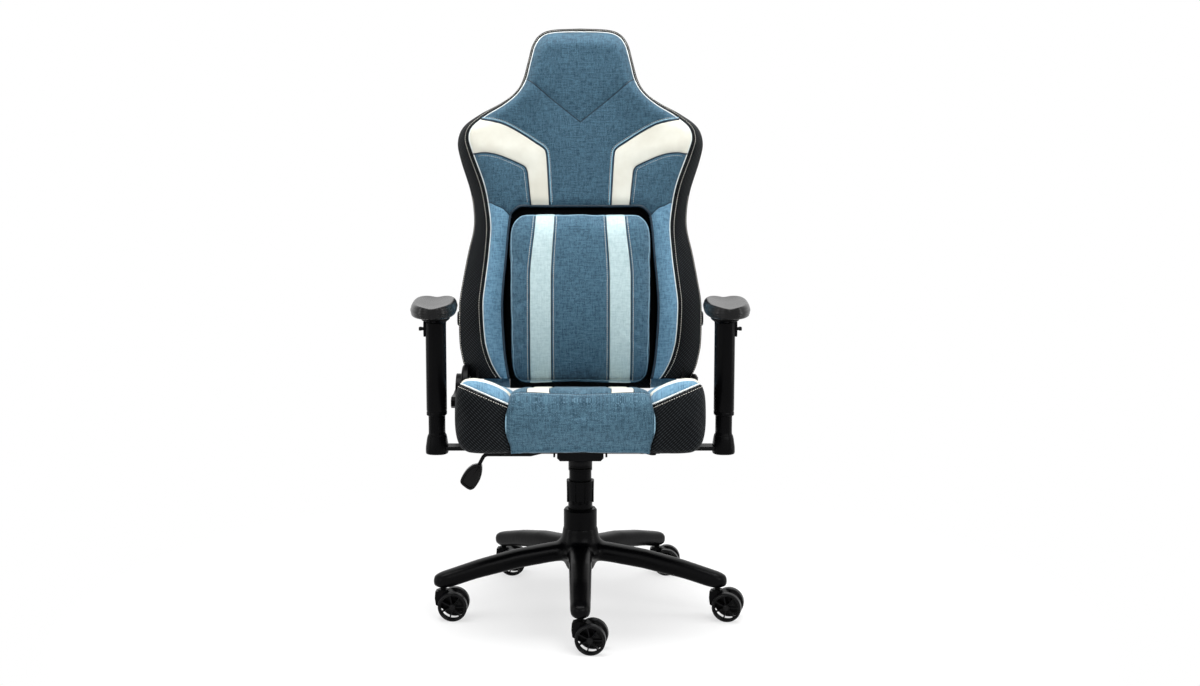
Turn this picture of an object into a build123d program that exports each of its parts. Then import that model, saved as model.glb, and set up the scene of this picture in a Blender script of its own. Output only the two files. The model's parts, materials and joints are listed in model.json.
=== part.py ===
from build123d import *
import math
import os

# Swivel chair with a bucket seat and a tall winged backrest.
# The origin is on the floor under the column's axis. +Z is up, and the chair faces -Y.
# "left" and "right" are the sitter's, so left is +X. All lengths are in millimetres.

SIDES = {"left": 1, "right": -1}

# Base and casters
LEG_COUNT = 5
LEG_REACH = 297  # column axis to caster stem
LEG_HALF_ROOT, LEG_HALF_TIP = 24, 20.5
HUB_R, HUB_BOTTOM, HUB_TOP = 45, 74, 142
STEM_R, STEM_SOCKET_R, STEM_TOP = 5.5, 5.56, 88
WHEEL_R, WHEEL_W, WHEEL_GAP = 30, 15.5, 11.5  # the gap is from mid caster to a wheel's inner face
TRAIL = 22
AXLE_R, AXLE_BORE_R = 4.0, 4.06
SPOKES, SPOKE_T = 7, 2.4
# Turn of each caster about its stem, counted from the leg that points at -Y
CASTER_TURN = {"front": -8, "left": -14, "rear_left": -6, "rear_right": -6, "right": -3}

# Column
COLUMN_R, COLUMN_BORE_R = 20, 17
COLUMN_BOTTOM, COLUMN_TOP = 62, 215
CYLINDER_R, CYLINDER_BORE_R, CYLINDER_BOTTOM = 14, 11, 100
TAPER_BOTTOM, TAPER_TOP, TAPER_TOP_R = 304, 325, 13.4
BUSH_R, BUSH_BOTTOM = 14.06, 180
ROD_R, ROD_SEAL_R, ROD_FOOT, ROD_TOP = 5, 5.06, 72, 182
VALVE_R, VALVE_BORE_R, VALVE_TOP = 4, 4.06, 328.8
COVER_LOW_R, COVER_LOW_TOP = 35, 210
COVER_MID_R, COVER_MID_BOTTOM, COLLAR_BOTTOM, COLLAR_TOP, COLLAR_R = 25.5, 165, 221, 270, 30
COVER_UP_R, COVER_UP_BOTTOM, BEAD_BOTTOM, BEAD_TOP, BEAD_R = 23.3, 230, 291, 304, 25

# Tilt mechanism
PIVOT_Y, PIVOT_Z, PIVOT_R, PIVOT_BORE_R = -30, 338, 5, 5.05
HOUSING_X, HOUSING_FRONT, HOUSING_REAR = 48, -55, 45
HOUSING_BOTTOM, HOUSING_TOP, WALL = 321, 344, 4
FUNNEL_BOTTOM, FUNNEL_R = 312, 38
PLATE_BOTTOM, PLATE_TOP, PLATE_X, PLATE_Y = 345, 350, 80, 95
LEVER_Z, LEVER_R, LEVER_PIVOT_X = 334, 4, -22
LEVER_OUT_Z, LEVER_BEND_X, LEVER_END = 324, -201, (-217, 294)

# Seat
RAIL_X, RAIL_W, RAIL_TOP = 148, 24, 366
RAIL_FRONT, RAIL_REAR = -120, 200
BOARD_TOP, BOARD_FRONT, BOARD_REAR = 374, -195, 187
SEAT_FRONT, SEAT_REAR, SEAT_SEAM_X, SEAT_X = -262, 212, 139, 250
SEAT_REAR_X = 220

# Backrest, in its own leaning frame: x across, d to the rear, h up from the recline axis
LEAN, RECLINE_Y, RECLINE_Z = 9, 205, 420
BACK_FRONT, BACK_SPLIT, BACK_REAR = -30, 25, 68
BACK_BOTTOM, BACK_LOW_X = 33, 244
# Half width against height, from the lower corner to the head
BACK_EDGE = [
    (257, 68), (266, 97), (271, 150), (270, 205), (265, 250), (253, 313), (241, 365),
    (239, 405), (244, 455), (263, 522), (271, 565), (261, 597), (228, 624), (183, 647),
    (147, 670), (121, 700), (106, 745), (99, 780), (86, 805),
]
BACK_TOP, HEAD_FLAT_X = 816, 60
POCKET_X, POCKET_LOW, POCKET_HIGH, POCKET_FLOOR = 170, 22, 418, 5
PAD_X, PAD_LOW, PAD_HIGH, PAD_FRONT, PAD_REAR = 154, 28, 400, -74, -1
SHAFT_D, SHAFT_H, SHAFT_R = 53, 170, 5
KNOB_R, KNOB_IN, KNOB_OUT = 16.5, 267, 278
TUBE_X, TUBE_W, TUBE_D0, TUBE_D1 = 185, 20, 27, 45

# Recliner
BACK_PLATE_X, SEAT_PLATE_X, SIDE_PLATE_T = 225, 233, 5
PIN_R, PIN_BORE_R = 7, 7.06
COVER_R, COVER_IN, COVER_OUT = 65, 248, 262
HANDLE_IN, HANDLE_OUT = 264, 276

# Armrests
ARM_Y = -30
POST_X, POST_W, POST_D, POST_TOP = 297, 34, 44, 548
SHOE_W, SHOE_D, SHOE_BOTTOM, SHOE_TOP, SHOE_TAPER = 47, 58, 334, 374, 7
SLEEVE_W, SLEEVE_D, SLEEVE_BOTTOM, SLEEVE_TOP = 41.5, 54, 410, 617
ARM_CLEAR = 0.3
BRACKET_T, BRACKET_D, BRACKET_IN = 8, 38, 130
PAD_BASE_TOP, ARM_PAD_TOP, ARM_PAD_FRONT, ARM_PAD_REAR = 623, 650, -150, 110
BUTTON_Z, BUTTON_H, BUTTON_D = 594, 8, 12


def box(x0, x1, y0, y1, z0, z1):
    """A box between its opposite corners."""
    size = Box(abs(x1 - x0), abs(y1 - y0), abs(z1 - z0))
    return Pos((x0 + x1) / 2, (y0 + y1) / 2, (z0 + z1) / 2) * size


def rod_z(r, z0, z1, x=0, y=0):
    return Pos(x, y, (z0 + z1) / 2) * Cylinder(r, z1 - z0)


def rod_x(r, x0, x1, y, z):
    return Pos((x0 + x1) / 2, y, z) * Rot(0, 90, 0) * Cylinder(r, abs(x1 - x0))


def rod_y(r, y0, y1, x, z):
    return Pos(x, (y0 + y1) / 2, z) * Rot(90, 0, 0) * Cylinder(r, y1 - y0)


def turned(profile):
    """A body of revolution about Z from (radius, z) points."""
    line = Polyline(*[(r, 0, z) for r, z in profile], close=True)
    return revolve(make_face(line), axis=Axis.Z)


def slab_x(profile, x0, x1):
    """A (y, z) outline, extruded from x0 to x1."""
    line = Polyline(*[(x0, y, z) for y, z in profile], close=True)
    return extrude(make_face(line), amount=x1 - x0, dir=(1, 0, 0))


def slab_y(profile, y0, y1):
    """An (x, z) outline, extruded from y0 to y1."""
    line = Polyline(*[(x, y0, z) for x, z in profile], close=True)
    return extrude(make_face(line), amount=y1 - y0, dir=(0, 1, 0))


def mirrored(shape, side):
    """The sitter's-left shape, or its mirror image for the right side."""
    return shape if side > 0 else mirror(shape, about=Plane.YZ)


# ---------------------------------------------------------------- base and column


def base_leg():
    """One leg along -Y: an arched side outline cut to a tapering, round-ended plan."""
    tip = LEG_REACH + LEG_HALF_TIP
    side = [(0, 100), (0, 140), (-60, 139), (-140, 131), (-220, 116), (-LEG_REACH, 97),
            (-tip + 6, 90), (-tip, 80), (-tip, 70), (-tip + 8, 64), (-LEG_REACH + 14, 64),
            (-230, 78), (-140, 93), (-60, 101)]
    bar = slab_x(side, -LEG_HALF_ROOT, LEG_HALF_ROOT)
    plan = Polyline((-LEG_HALF_ROOT, 0), (LEG_HALF_ROOT, 0), (LEG_HALF_TIP, -LEG_REACH),
                    (-LEG_HALF_TIP, -LEG_REACH), close=True)
    outline = Pos(0, 0, 50) * extrude(make_face(plan), 100)
    outline += rod_z(LEG_HALF_TIP, 50, 150, y=-LEG_REACH)
    return bar & outline


def star_base():
    hub = turned([(0, HUB_BOTTOM), (HUB_R + 7, HUB_BOTTOM), (HUB_R + 4, 110), (HUB_R, HUB_TOP),
                  (0, HUB_TOP)])
    for i in range(LEG_COUNT):
        hub += Rot(0, 0, i * 360 / LEG_COUNT) * base_leg()
    hub -= rod_z(COLUMN_R, 0, HUB_TOP + 1)
    for i in range(LEG_COUNT):
        hub -= Rot(0, 0, i * 360 / LEG_COUNT) * rod_z(STEM_SOCKET_R, 50, STEM_TOP + 2, y=-LEG_REACH)
    return hub


def gas_column():
    """Outer tube with a closed foot and a guide bush in its mouth."""
    tube = rod_z(COLUMN_R, COLUMN_BOTTOM, COLUMN_TOP)
    tube -= rod_z(COLUMN_BORE_R, COLUMN_BOTTOM + 4, BUSH_BOTTOM)
    return tube - rod_z(BUSH_R, BUSH_BOTTOM - 1, COLUMN_TOP + 1)


def thrust_bearing():
    low = COLUMN_BOTTOM + 4
    races = [turned([(6, z), (15, z), (15, z + 1.8), (6, z + 1.8)]) for z in (low, low + 4.2)]
    return races[0] + races[1] + turned([(8, low), (13, low), (13, low + 6), (8, low + 6)])


def piston_rod():
    """Rod that stands on the thrust bearing and carries the piston in the cylinder."""
    return (rod_z(13, ROD_FOOT, ROD_FOOT + 3) + rod_z(ROD_R, ROD_FOOT, ROD_TOP)
            + rod_z(CYLINDER_BORE_R - 0.1, ROD_TOP - 12, ROD_TOP))


def gas_cylinder():
    shell = turned([(0, CYLINDER_BOTTOM), (CYLINDER_R, CYLINDER_BOTTOM), (CYLINDER_R, TAPER_BOTTOM),
                    (TAPER_TOP_R, TAPER_TOP), (0, TAPER_TOP)])
    shell -= rod_z(CYLINDER_BORE_R, CYLINDER_BOTTOM + 4, TAPER_TOP - 16)
    shell -= rod_z(ROD_SEAL_R, CYLINDER_BOTTOM - 1, CYLINDER_BOTTOM + 5)
    return shell - rod_z(VALVE_BORE_R, TAPER_TOP - 17, TAPER_TOP + 1)


def gas_valve():
    return rod_z(VALVE_R, TAPER_TOP - 13, VALVE_TOP)


def column_cover_lower():
    r, wall = COVER_LOW_R, 3
    rim = COVER_MID_R + 0.8
    return turned([(r + 2, HUB_TOP), (r + 1, HUB_TOP + 5), (r, HUB_TOP + 14), (r, COVER_LOW_TOP - 4),
                   (r - 3, COVER_LOW_TOP), (rim, COVER_LOW_TOP), (rim, COVER_LOW_TOP - 4),
                   (r - wall, COVER_LOW_TOP - 8), (r - wall, HUB_TOP)])


def column_cover_middle():
    inner = COVER_UP_R + 0.9
    cover = turned([(inner, COVER_MID_BOTTOM), (COVER_MID_R, COVER_MID_BOTTOM),
                    (COVER_MID_R, COLLAR_BOTTOM), (COLLAR_R - 2, COLLAR_BOTTOM + 8),
                    (COLLAR_R - 1, COLLAR_TOP), (inner, COLLAR_TOP)])
    rib = box(COVER_MID_R, COLLAR_R, -1.5, 1.5, COLLAR_BOTTOM + 4, COLLAR_TOP)
    for i in range(8):
        cover += Rot(0, 0, 22.5 + 45 * i) * rib
    return cover


def column_cover_upper():
    r, inner = COVER_UP_R, COVER_UP_R - 2
    step = (BEAD_TOP - BEAD_BOTTOM) / 2
    return turned([(inner, COVER_UP_BOTTOM), (r, COVER_UP_BOTTOM), (r, BEAD_BOTTOM),
                   (BEAD_R, BEAD_BOTTOM + 1), (BEAD_R, BEAD_BOTTOM + step - 1), (r, BEAD_BOTTOM + step),
                   (BEAD_R, BEAD_BOTTOM + step + 1), (BEAD_R, BEAD_TOP), (CYLINDER_R, BEAD_TOP),
                   (CYLINDER_R, BEAD_TOP - 4), (inner, BEAD_TOP - 4)])


# ---------------------------------------------------------------- casters


def caster_fork():
    """Hood block beside the stem, reaching between the wheels to the axle. The trail is along +X."""
    side = [(-14, 30), (-16, 44), (-15, 58), (12, 60), (22, 56), (26, 40), (26, 26), (16, 24), (0, 22)]
    block = slab_y(side, -WHEEL_GAP + 0.8, WHEEL_GAP - 0.8)
    return (block + rod_z(11, 50, 61) + rod_z(STEM_R, 56, STEM_TOP)
            + rod_y(AXLE_R, -WHEEL_GAP - WHEEL_W + 1, WHEEL_GAP + WHEEL_W - 1, TRAIL, WHEEL_R))


def caster_wheel(side):
    """Open spoked wheel on the axle. side is -1 for the wheel at -Y and 1 for the one at +Y."""
    y0, y1 = sorted((side * WHEEL_GAP, side * (WHEEL_GAP + WHEEL_W)))
    rim = rod_y(WHEEL_R, y0, y1, 0, 0)
    rim = fillet(rim.edges().filter_by(GeomType.CIRCLE), 2.5)
    wheel = rim - rod_y(WHEEL_R - 4.5, y0 - 1, y1 + 1, 0, 0) + rod_y(6.5, y0, y1, 0, 0)
    mid = (y0 + y1) / 2
    for i in range(SPOKES):
        spoke = box(5, WHEEL_R - 4, mid - 5, mid + 5, -SPOKE_T / 2, SPOKE_T / 2)
        wheel += Rot(0, 360 / SPOKES * i, 0) * spoke
    wheel -= rod_y(AXLE_BORE_R, y0 - 1, y1 + 1, 0, 0)
    return Pos(TRAIL, 0, WHEEL_R) * wheel


def casters():
    """A fork and two wheels at each leg's end, each caster turned about its stem."""
    fork, near, far = caster_fork(), caster_wheel(-1), caster_wheel(1)
    nodes = {}
    for i, (name, turn) in enumerate(CASTER_TURN.items()):
        angle = math.radians(360 / LEG_COUNT * i)
        x, y = LEG_REACH * math.sin(angle), -LEG_REACH * math.cos(angle)
        place = Pos(x, y, 0) * Rot(0, 0, turn)
        nodes[f"caster_{name}_fork"] = place * fork
        nodes[f"caster_{name}_wheel_near"] = place * near
        nodes[f"caster_{name}_wheel_far"] = place * far
    return nodes


# ---------------------------------------------------------------- mechanism and lift lever


def mechanism_housing():
    """Pressed tray with the column's socket. Its top falls away behind the tilt axis."""
    top_rear = HOUSING_TOP - (HOUSING_REAR - PIVOT_Y) * math.tan(math.radians(13.5))
    side = [(HOUSING_FRONT, HOUSING_BOTTOM), (HOUSING_FRONT + 3, HOUSING_TOP - 1), (PIVOT_Y, HOUSING_TOP),
            (HOUSING_REAR, top_rear), (HOUSING_REAR, HOUSING_BOTTOM)]
    tray = slab_x(side, -HOUSING_X, HOUSING_X)
    tray = chamfer(tray.faces().sort_by(Axis.Z)[0].edges().filter_by(Axis.Y), 6)
    inside = box(-HOUSING_X + WALL, HOUSING_X - WALL, HOUSING_FRONT + WALL + 2, HOUSING_REAR - WALL,
                 HOUSING_BOTTOM + WALL, HOUSING_TOP + 1)
    tray -= inside
    tray += turned([(0, BEAD_TOP), (BEAD_R, BEAD_TOP), (BEAD_R, FUNNEL_BOTTOM), (FUNNEL_R, HOUSING_BOTTOM),
                    (FUNNEL_R, HOUSING_BOTTOM + WALL), (0, HOUSING_BOTTOM + WALL)])
    tray -= turned([(0, TAPER_BOTTOM - 1), (CYLINDER_R, TAPER_BOTTOM - 1), (CYLINDER_R, TAPER_BOTTOM),
                    (TAPER_TOP_R, TAPER_TOP), (TAPER_TOP_R, TAPER_TOP + 1), (0, TAPER_TOP + 1)])
    tray -= box(-HOUSING_X - 1, -HOUSING_X + WALL + 1, -6, 6, LEVER_Z - 6, HOUSING_TOP + 1)
    return tray - rod_x(PIVOT_R, -HOUSING_X - 1, HOUSING_X + 1, PIVOT_Y, PIVOT_Z)


def tilt_pin():
    return rod_x(PIVOT_R, -HOUSING_X - 9, HOUSING_X + 9, PIVOT_Y, PIVOT_Z)


def tilt_spring():
    """The two coils on the tilt pin, as closed sleeves, with the tail that bears on the tray."""
    parts = []
    for x in (-36, 8):
        sleeve = rod_x(9.5, x, x + 28, PIVOT_Y, PIVOT_Z - 2.5) - rod_x(PIVOT_R + 0.6, x - 1, x + 29,
                                                                      PIVOT_Y, PIVOT_Z)
        parts.append(sleeve & box(-60, 60, -60, 0, HOUSING_BOTTOM + WALL, HOUSING_TOP))
    return parts[0] + parts[1]


def lock_slider():
    """Block that slides along X in the tray, with the lever's cross pin."""
    x0, x1 = LEVER_PIVOT_X - 12, LEVER_PIVOT_X + 12
    block = box(x0, x1, -10, 10, HOUSING_BOTTOM + WALL + 0.5, LEVER_Z + 7)
    block -= box(x0 - 1, x1 + 1, -LEVER_R - 0.2, LEVER_R + 0.2, LEVER_Z - LEVER_R - 1.4, LEVER_Z + 8)
    return block + rod_y(1.5, -9, 9, LEVER_PIVOT_X, LEVER_Z)


def lift_lever_rod():
    """Round rod: level in the tray, stepped down outside it and bent down at its outer end."""
    path = FilletPolyline((14, 0, LEVER_Z), (-64, 0, LEVER_Z), (-104, 0, LEVER_OUT_Z),
                          (LEVER_BEND_X, 0, LEVER_OUT_Z), (LEVER_END[0], 0, LEVER_END[1]), radius=12)
    section = Plane(origin=(14, 0, LEVER_Z), z_dir=(-1, 0, 0)) * Circle(LEVER_R)
    rod = sweep(section, path=path)
    return rod - rod_y(1.55, -9, 9, LEVER_PIVOT_X, LEVER_Z)


def lift_lever_paddle():
    """Flat paddle that widens downwards, with a thumb hollow in its outer face."""
    outline = [(-223, 302), (-207, 303), (-206, 290), (-208, 281), (-222, 254), (-231, 250),
               (-249, 262), (-251, 270), (-240, 291)]
    paddle = slab_y(outline, -9, 9)
    hollow = [(-224, 293), (-215, 290), (-215, 283), (-226, 262), (-233, 259), (-243, 266), (-244, 271)]
    paddle -= slab_y(hollow, -10, -6.5)
    axis = Plane(origin=(LEVER_END[0], 0, LEVER_END[1]),
                 z_dir=(LEVER_BEND_X - LEVER_END[0], 0, LEVER_OUT_Z - LEVER_END[1]))
    return paddle - axis * Pos(0, 0, 20) * Cylinder(LEVER_R, 40)


# ---------------------------------------------------------------- seat


def mechanism_plate():
    """Top plate on the tilt pin, with cross straps to the seat's rails and a slot over the lever."""
    plate = box(-PLATE_X, PLATE_X, -PLATE_Y, PLATE_Y, PLATE_BOTTOM, PLATE_TOP)
    reach = RAIL_X + RAIL_W / 2
    for y0 in (-PLATE_Y, PLATE_Y - 30):
        plate += box(-reach, reach, y0, y0 + 30, PLATE_BOTTOM, PLATE_TOP)
        for x in (-RAIL_X, RAIL_X):
            plate += rod_z(7, PLATE_BOTTOM - 5, PLATE_BOTTOM, x, y0 + 15)
    plate -= box(-PLATE_X - 1, 18, -12, 12, PLATE_BOTTOM - 1, PLATE_TOP + 1)
    for x in (-HOUSING_X - 8, HOUSING_X + 4):
        plate += box(x, x + 4, PIVOT_Y - 14, PIVOT_Y + 14, PIVOT_Z - 11, PLATE_BOTTOM)
    return plate - rod_x(PIVOT_BORE_R, -PLATE_X, PLATE_X, PIVOT_Y, PIVOT_Z)


def seat_side_frame(side):
    """Rail under the seat, outrigger and upright recliner plate with its pivot stub."""
    frame = box(RAIL_X - RAIL_W / 2, RAIL_X + RAIL_W / 2, RAIL_FRONT, RAIL_REAR, PLATE_TOP, RAIL_TOP)
    outer = SEAT_PLATE_X + SIDE_PLATE_T
    frame += box(RAIL_X, outer, 160, 200, PLATE_TOP, RAIL_TOP)
    leg = [(150, PLATE_TOP), (200, PLATE_TOP), (222, 392), (RECLINE_Y, RECLINE_Z), (176, 416)]
    frame += slab_x(leg, SEAT_PLATE_X, outer) + rod_x(28, SEAT_PLATE_X, outer, RECLINE_Y, RECLINE_Z)
    frame += rod_x(PIN_R, BACK_PLATE_X - 4, HANDLE_OUT - 3, RECLINE_Y, RECLINE_Z)
    return mirrored(frame, side)


def seat_board():
    plan = Pos(0, (BOARD_FRONT + BOARD_REAR) / 2, 0) * RectangleRounded(
        2 * SEAT_REAR_X - 24, BOARD_REAR - BOARD_FRONT, 45)
    return Pos(0, 0, RAIL_TOP) * extrude(plan, BOARD_TOP - RAIL_TOP)


def seat_cushion():
    """Middle panel: a round waterfall front and a top that falls towards the rear."""
    side = [(-226, BOARD_TOP), (-246, 379), (-257, 395), (SEAT_FRONT, 425), (-260, 465), (-252, 487),
            (-236, 500), (-210, 504), (-100, 488), (40, 466), (140, 453), (190, 446), (206, 436),
            (SEAT_REAR, 415), (SEAT_REAR, 390), (200, BOARD_TOP)]
    return slab_x(side, -SEAT_SEAM_X, SEAT_SEAM_X)


def bolster_section(y, crest, fall, reach):
    """Across the side bolster at y: the crest's height, the drop of the rest, the outer half width."""
    width = reach - SEAT_SEAM_X
    points = [(0, BOARD_TOP), (width - 30, BOARD_TOP), (width - 8, 385), (width, 402),
              (width, crest - 40), (0.95 * width, crest - 26), (0.82 * width, crest - 10),
              (0.6 * width, crest - 2), (0.4 * width, crest), (0.14 * width, crest - 0.6 * fall),
              (0, crest - fall)]
    points = [(SEAT_SEAM_X + x, z) for x, z in points]
    return make_face(Polyline(*[(x, y, z) for x, z in points], close=True))


def seat_bolster(side):
    """Side bolster in three stretches, with the rear one narrow enough to clear the recliner."""
    stations = [(SEAT_FRONT, 496, 30, 228), (-245, 514, 34, 246), (-200, 522, 36, SEAT_X),
                (20, 490, 30, 246), (112, 475, 26, 246)]
    faces = [bolster_section(*s) for s in stations]
    solids = [loft([a, b], ruled=True) for a, b in zip(faces, faces[1:])]
    narrow = [bolster_section(112, 475, 26, SEAT_REAR_X), bolster_section(200, 446, 12, SEAT_REAR_X - 6)]
    solids.append(loft(narrow, ruled=True))
    bolster = solids[0]
    for solid in solids[1:]:
        bolster += solid
    return mirrored(bolster, side)


def recliner_cover(side):
    """Domed cover outside the recliner plate. The sitter's right one is larger, under the lever."""
    r, out = (COVER_R, COVER_OUT) if side < 0 else (44, COVER_OUT - 2)
    cover = rod_x(r, COVER_IN, out, RECLINE_Y, RECLINE_Z)
    if side < 0:
        cover += slab_x([(140, 392), (240, 392), (226, 352), (160, 352)], COVER_IN, out)
    cover = fillet(cover.faces().sort_by(Axis.X)[-1].edges(), 6)
    cover += rod_x(18, SEAT_PLATE_X + SIDE_PLATE_T, COVER_IN, RECLINE_Y, RECLINE_Z)
    return mirrored(cover - rod_x(PIN_R, 0, HANDLE_OUT, RECLINE_Y, RECLINE_Z), side)


def recline_lever():
    """Hub on the recliner's axis and a handle that points forward beside the seat."""
    hub = fillet(rod_x(45, HANDLE_IN, HANDLE_OUT, RECLINE_Y, RECLINE_Z)
                 .faces().sort_by(Axis.X)[-1].edges(), 5)
    arm = slab_x([(RECLINE_Y, 402), (120, 414), (62, 412), (50, 418), (50, 430), (62, 436),
                  (120, 434), (RECLINE_Y, 440)], HANDLE_IN, HANDLE_OUT - 1)
    lever = rod_x(45, HANDLE_IN, HANDLE_OUT - 1, RECLINE_Y, RECLINE_Z) + arm
    lever -= rod_x(PIN_BORE_R, 0, HANDLE_OUT + 1, RECLINE_Y, RECLINE_Z)
    return mirrored(lever, -1)


# ---------------------------------------------------------------- armrests


def arm_bracket(side):
    """Steel L: a flat bar under the seat's rail that turns up inside the post."""
    half = BRACKET_D / 2
    bar = box(BRACKET_IN, POST_X + 4, ARM_Y - half, ARM_Y + half, PLATE_TOP - BRACKET_T, PLATE_TOP)
    bar += box(POST_X - 4, POST_X + 4, ARM_Y - half, ARM_Y + half, PLATE_TOP - BRACKET_T, POST_TOP - 30)
    return mirrored(bar, side)


def arm_post(side):
    """Fixed post with its wider shoe, slotted for the steel bracket."""
    post = box(POST_X - POST_W / 2, POST_X + POST_W / 2, ARM_Y - POST_D / 2, ARM_Y + POST_D / 2,
               SHOE_TOP, POST_TOP)
    post = fillet(post.edges().filter_by(Axis.Z), 8)
    plan = Pos(POST_X, ARM_Y, SHOE_BOTTOM) * RectangleRounded(SHOE_W, SHOE_D, 12)
    shoe = extrude(plan, SHOE_TOP - SHOE_BOTTOM, taper=SHOE_TAPER)
    return mirrored(post + shoe, side) - arm_bracket(side)


def arm_sleeve(side):
    """Sleeve that slides on the post, with the pad's mounting flange and the button's bezel."""
    x0, x1 = POST_X - SLEEVE_W / 2, POST_X + SLEEVE_W / 2
    sleeve = box(x0, x1, ARM_Y - SLEEVE_D / 2, ARM_Y + SLEEVE_D / 2, SLEEVE_BOTTOM, SLEEVE_TOP)
    sleeve = fillet(sleeve.edges().filter_by(Axis.Z), 10)
    sleeve += box(x0 - 8, x1 + 8, ARM_Y - 45, ARM_Y + 45, SLEEVE_TOP - 5, PAD_BASE_TOP)
    sleeve += box(x1 - 1, x1 + 4, ARM_Y - 12, ARM_Y + 12, BUTTON_Z - 17, BUTTON_Z + 16)
    half_w, half_d = POST_W / 2 + ARM_CLEAR, POST_D / 2 + ARM_CLEAR
    cavity = box(POST_X - half_w, POST_X + half_w, ARM_Y - half_d, ARM_Y + half_d,
                 SLEEVE_BOTTOM - 1, SLEEVE_TOP - 8)
    sleeve -= cavity
    gap = 0.3
    sleeve -= box(POST_X, x1 + 5, ARM_Y - BUTTON_D / 2 - gap, ARM_Y + BUTTON_D / 2 + gap,
                  BUTTON_Z - BUTTON_H / 2 - gap, BUTTON_Z + BUTTON_H / 2 + gap)
    return mirrored(sleeve, side)


def arm_button(side):
    x1 = POST_X + SLEEVE_W / 2
    button = box(x1 - 2, x1 + 14, ARM_Y - BUTTON_D / 2, ARM_Y + BUTTON_D / 2,
                 BUTTON_Z - BUTTON_H / 2, BUTTON_Z + BUTTON_H / 2)
    button = fillet(button.faces().sort_by(Axis.X)[-1].edges(), 2)
    return mirrored(button, side)


def arm_pad(side):
    """Soft pad with a dished top, wider on the outer side of the post."""
    plan = Spline((256, -60), (252, 20), (256, 85), (277, 108), (312, ARM_PAD_REAR), (342, 98),
                  (350, 40), (344, -60), (329, -128), (301, ARM_PAD_FRONT), (271, -132), (256, -60))
    pad = Pos(0, 0, PAD_BASE_TOP) * extrude(make_face(plan), ARM_PAD_TOP - PAD_BASE_TOP)
    dish_r = 260
    dish = rod_y(dish_r, ARM_PAD_FRONT - 20, ARM_PAD_REAR + 20, POST_X, ARM_PAD_TOP - 5 + dish_r)
    return mirrored(pad - dish, side)


# ---------------------------------------------------------------- backrest


def leaning(shape):
    """From the backrest's upright frame (x, d, h) to its place in the chair."""
    return Pos(0, RECLINE_Y, RECLINE_Z) * Rot(-LEAN, 0, 0) * shape


def back_outline(inset, bottom, low_x):
    """Front outline of the backrest as a face in the XZ plane, with every edge moved in by inset."""
    edge = [(x - inset, h) for x, h in BACK_EDGE]
    top = BACK_TOP - inset
    edge[0] = (edge[0][0], max(edge[0][1], bottom))
    right = Spline(*[(x, 0, h) for x, h in edge] + [(HEAD_FLAT_X - inset / 2, 0, top)])
    left = mirror(right, about=Plane.YZ)
    head = Line((HEAD_FLAT_X - inset / 2, 0, top), (-HEAD_FLAT_X + inset / 2, 0, top))
    step_h = edge[0][1]
    foot = Polyline((edge[0][0], 0, step_h), (low_x, 0, step_h), (low_x - 14, 0, bottom),
                    (-low_x + 14, 0, bottom), (-low_x, 0, step_h), (-edge[0][0], 0, step_h))
    return make_face(right + head + left + foot)


def back_slab(inset, bottom, low_x, d0, d1):
    face = Pos(0, d0, 0) * back_outline(inset, bottom, low_x)
    return extrude(face, amount=d1 - d0, dir=(0, 1, 0))


def plate_slots(clear):
    """Room for the two recliner plates that run up into the backrest."""
    x0, x1 = BACK_PLATE_X - clear, BACK_PLATE_X + SIDE_PLATE_T + clear
    slots = [box(s * x0, s * x1, -22 - clear, 22 + clear, 0, 150 + clear) for s in (1, -1)]
    return slots[0] + slots[1]


def back_cushion():
    """Front foam and cover, with the lumbar pad's pocket and the holes of its guide pins."""
    foam = back_slab(0, BACK_BOTTOM, BACK_LOW_X, BACK_FRONT, BACK_SPLIT)
    front = foam.faces().sort_by(Axis.Y)[0]
    foam = chamfer(front.edges(), 8)
    foam -= box(-POCKET_X, POCKET_X, BACK_FRONT - 10, POCKET_FLOOR, POCKET_LOW, POCKET_HIGH)
    for x in (-80, 80):
        foam -= rod_y(8, -10, BACK_SPLIT + 1, x, SHAFT_H)
    return leaning(foam - plate_slots(0.4))


def back_rear_panel():
    """Rear shell with the recess that takes the frame and the lumbar shaft."""
    shell = back_slab(5, BACK_BOTTOM, BACK_LOW_X, BACK_SPLIT, BACK_REAR)
    shell = chamfer(shell.faces().sort_by(Axis.Y)[-1].edges(), 12)
    shell -= box(-212, 212, BACK_SPLIT - 1, BACK_REAR - 8, 40, 560)
    shell -= box(-100, 100, BACK_SPLIT - 1, BACK_REAR - 8, 559, 720)
    shell -= rod_x(SHAFT_R + 0.5, -300, 300, SHAFT_D, SHAFT_H)
    return leaning(shell)


def back_frame():
    """Welded frame of square tube with a head plate and the lumbar shaft's bearings."""
    half, wall = TUBE_W / 2, 2.5
    low, high = 60, 540
    frame = box(-60, 60, TUBE_D0, TUBE_D0 + 4, high - TUBE_W, 700)
    bores = []
    for h in (low, high - TUBE_W):
        frame += box(-TUBE_X, TUBE_X, TUBE_D0, TUBE_D1, h, h + TUBE_W)
        bores.append(box(-TUBE_X, TUBE_X, TUBE_D0 + wall, TUBE_D1 - wall, h + wall, h + TUBE_W - wall))
    for x in (-TUBE_X, TUBE_X):
        frame += box(x - half, x + half, TUBE_D0, TUBE_D1, low - 15, high)
        frame += box(x - 6, x + 6, TUBE_D1, SHAFT_D + 6, SHAFT_H - 10, SHAFT_H + 10)
        bores.append(box(x - half + wall, x + half - wall, TUBE_D0 + wall, TUBE_D1 - wall,
                         low - 16, high + 1))
    for bore in bores:
        frame -= bore
    return leaning(frame - rod_x(SHAFT_R + 0.06, -220, 220, SHAFT_D, SHAFT_H))


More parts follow.
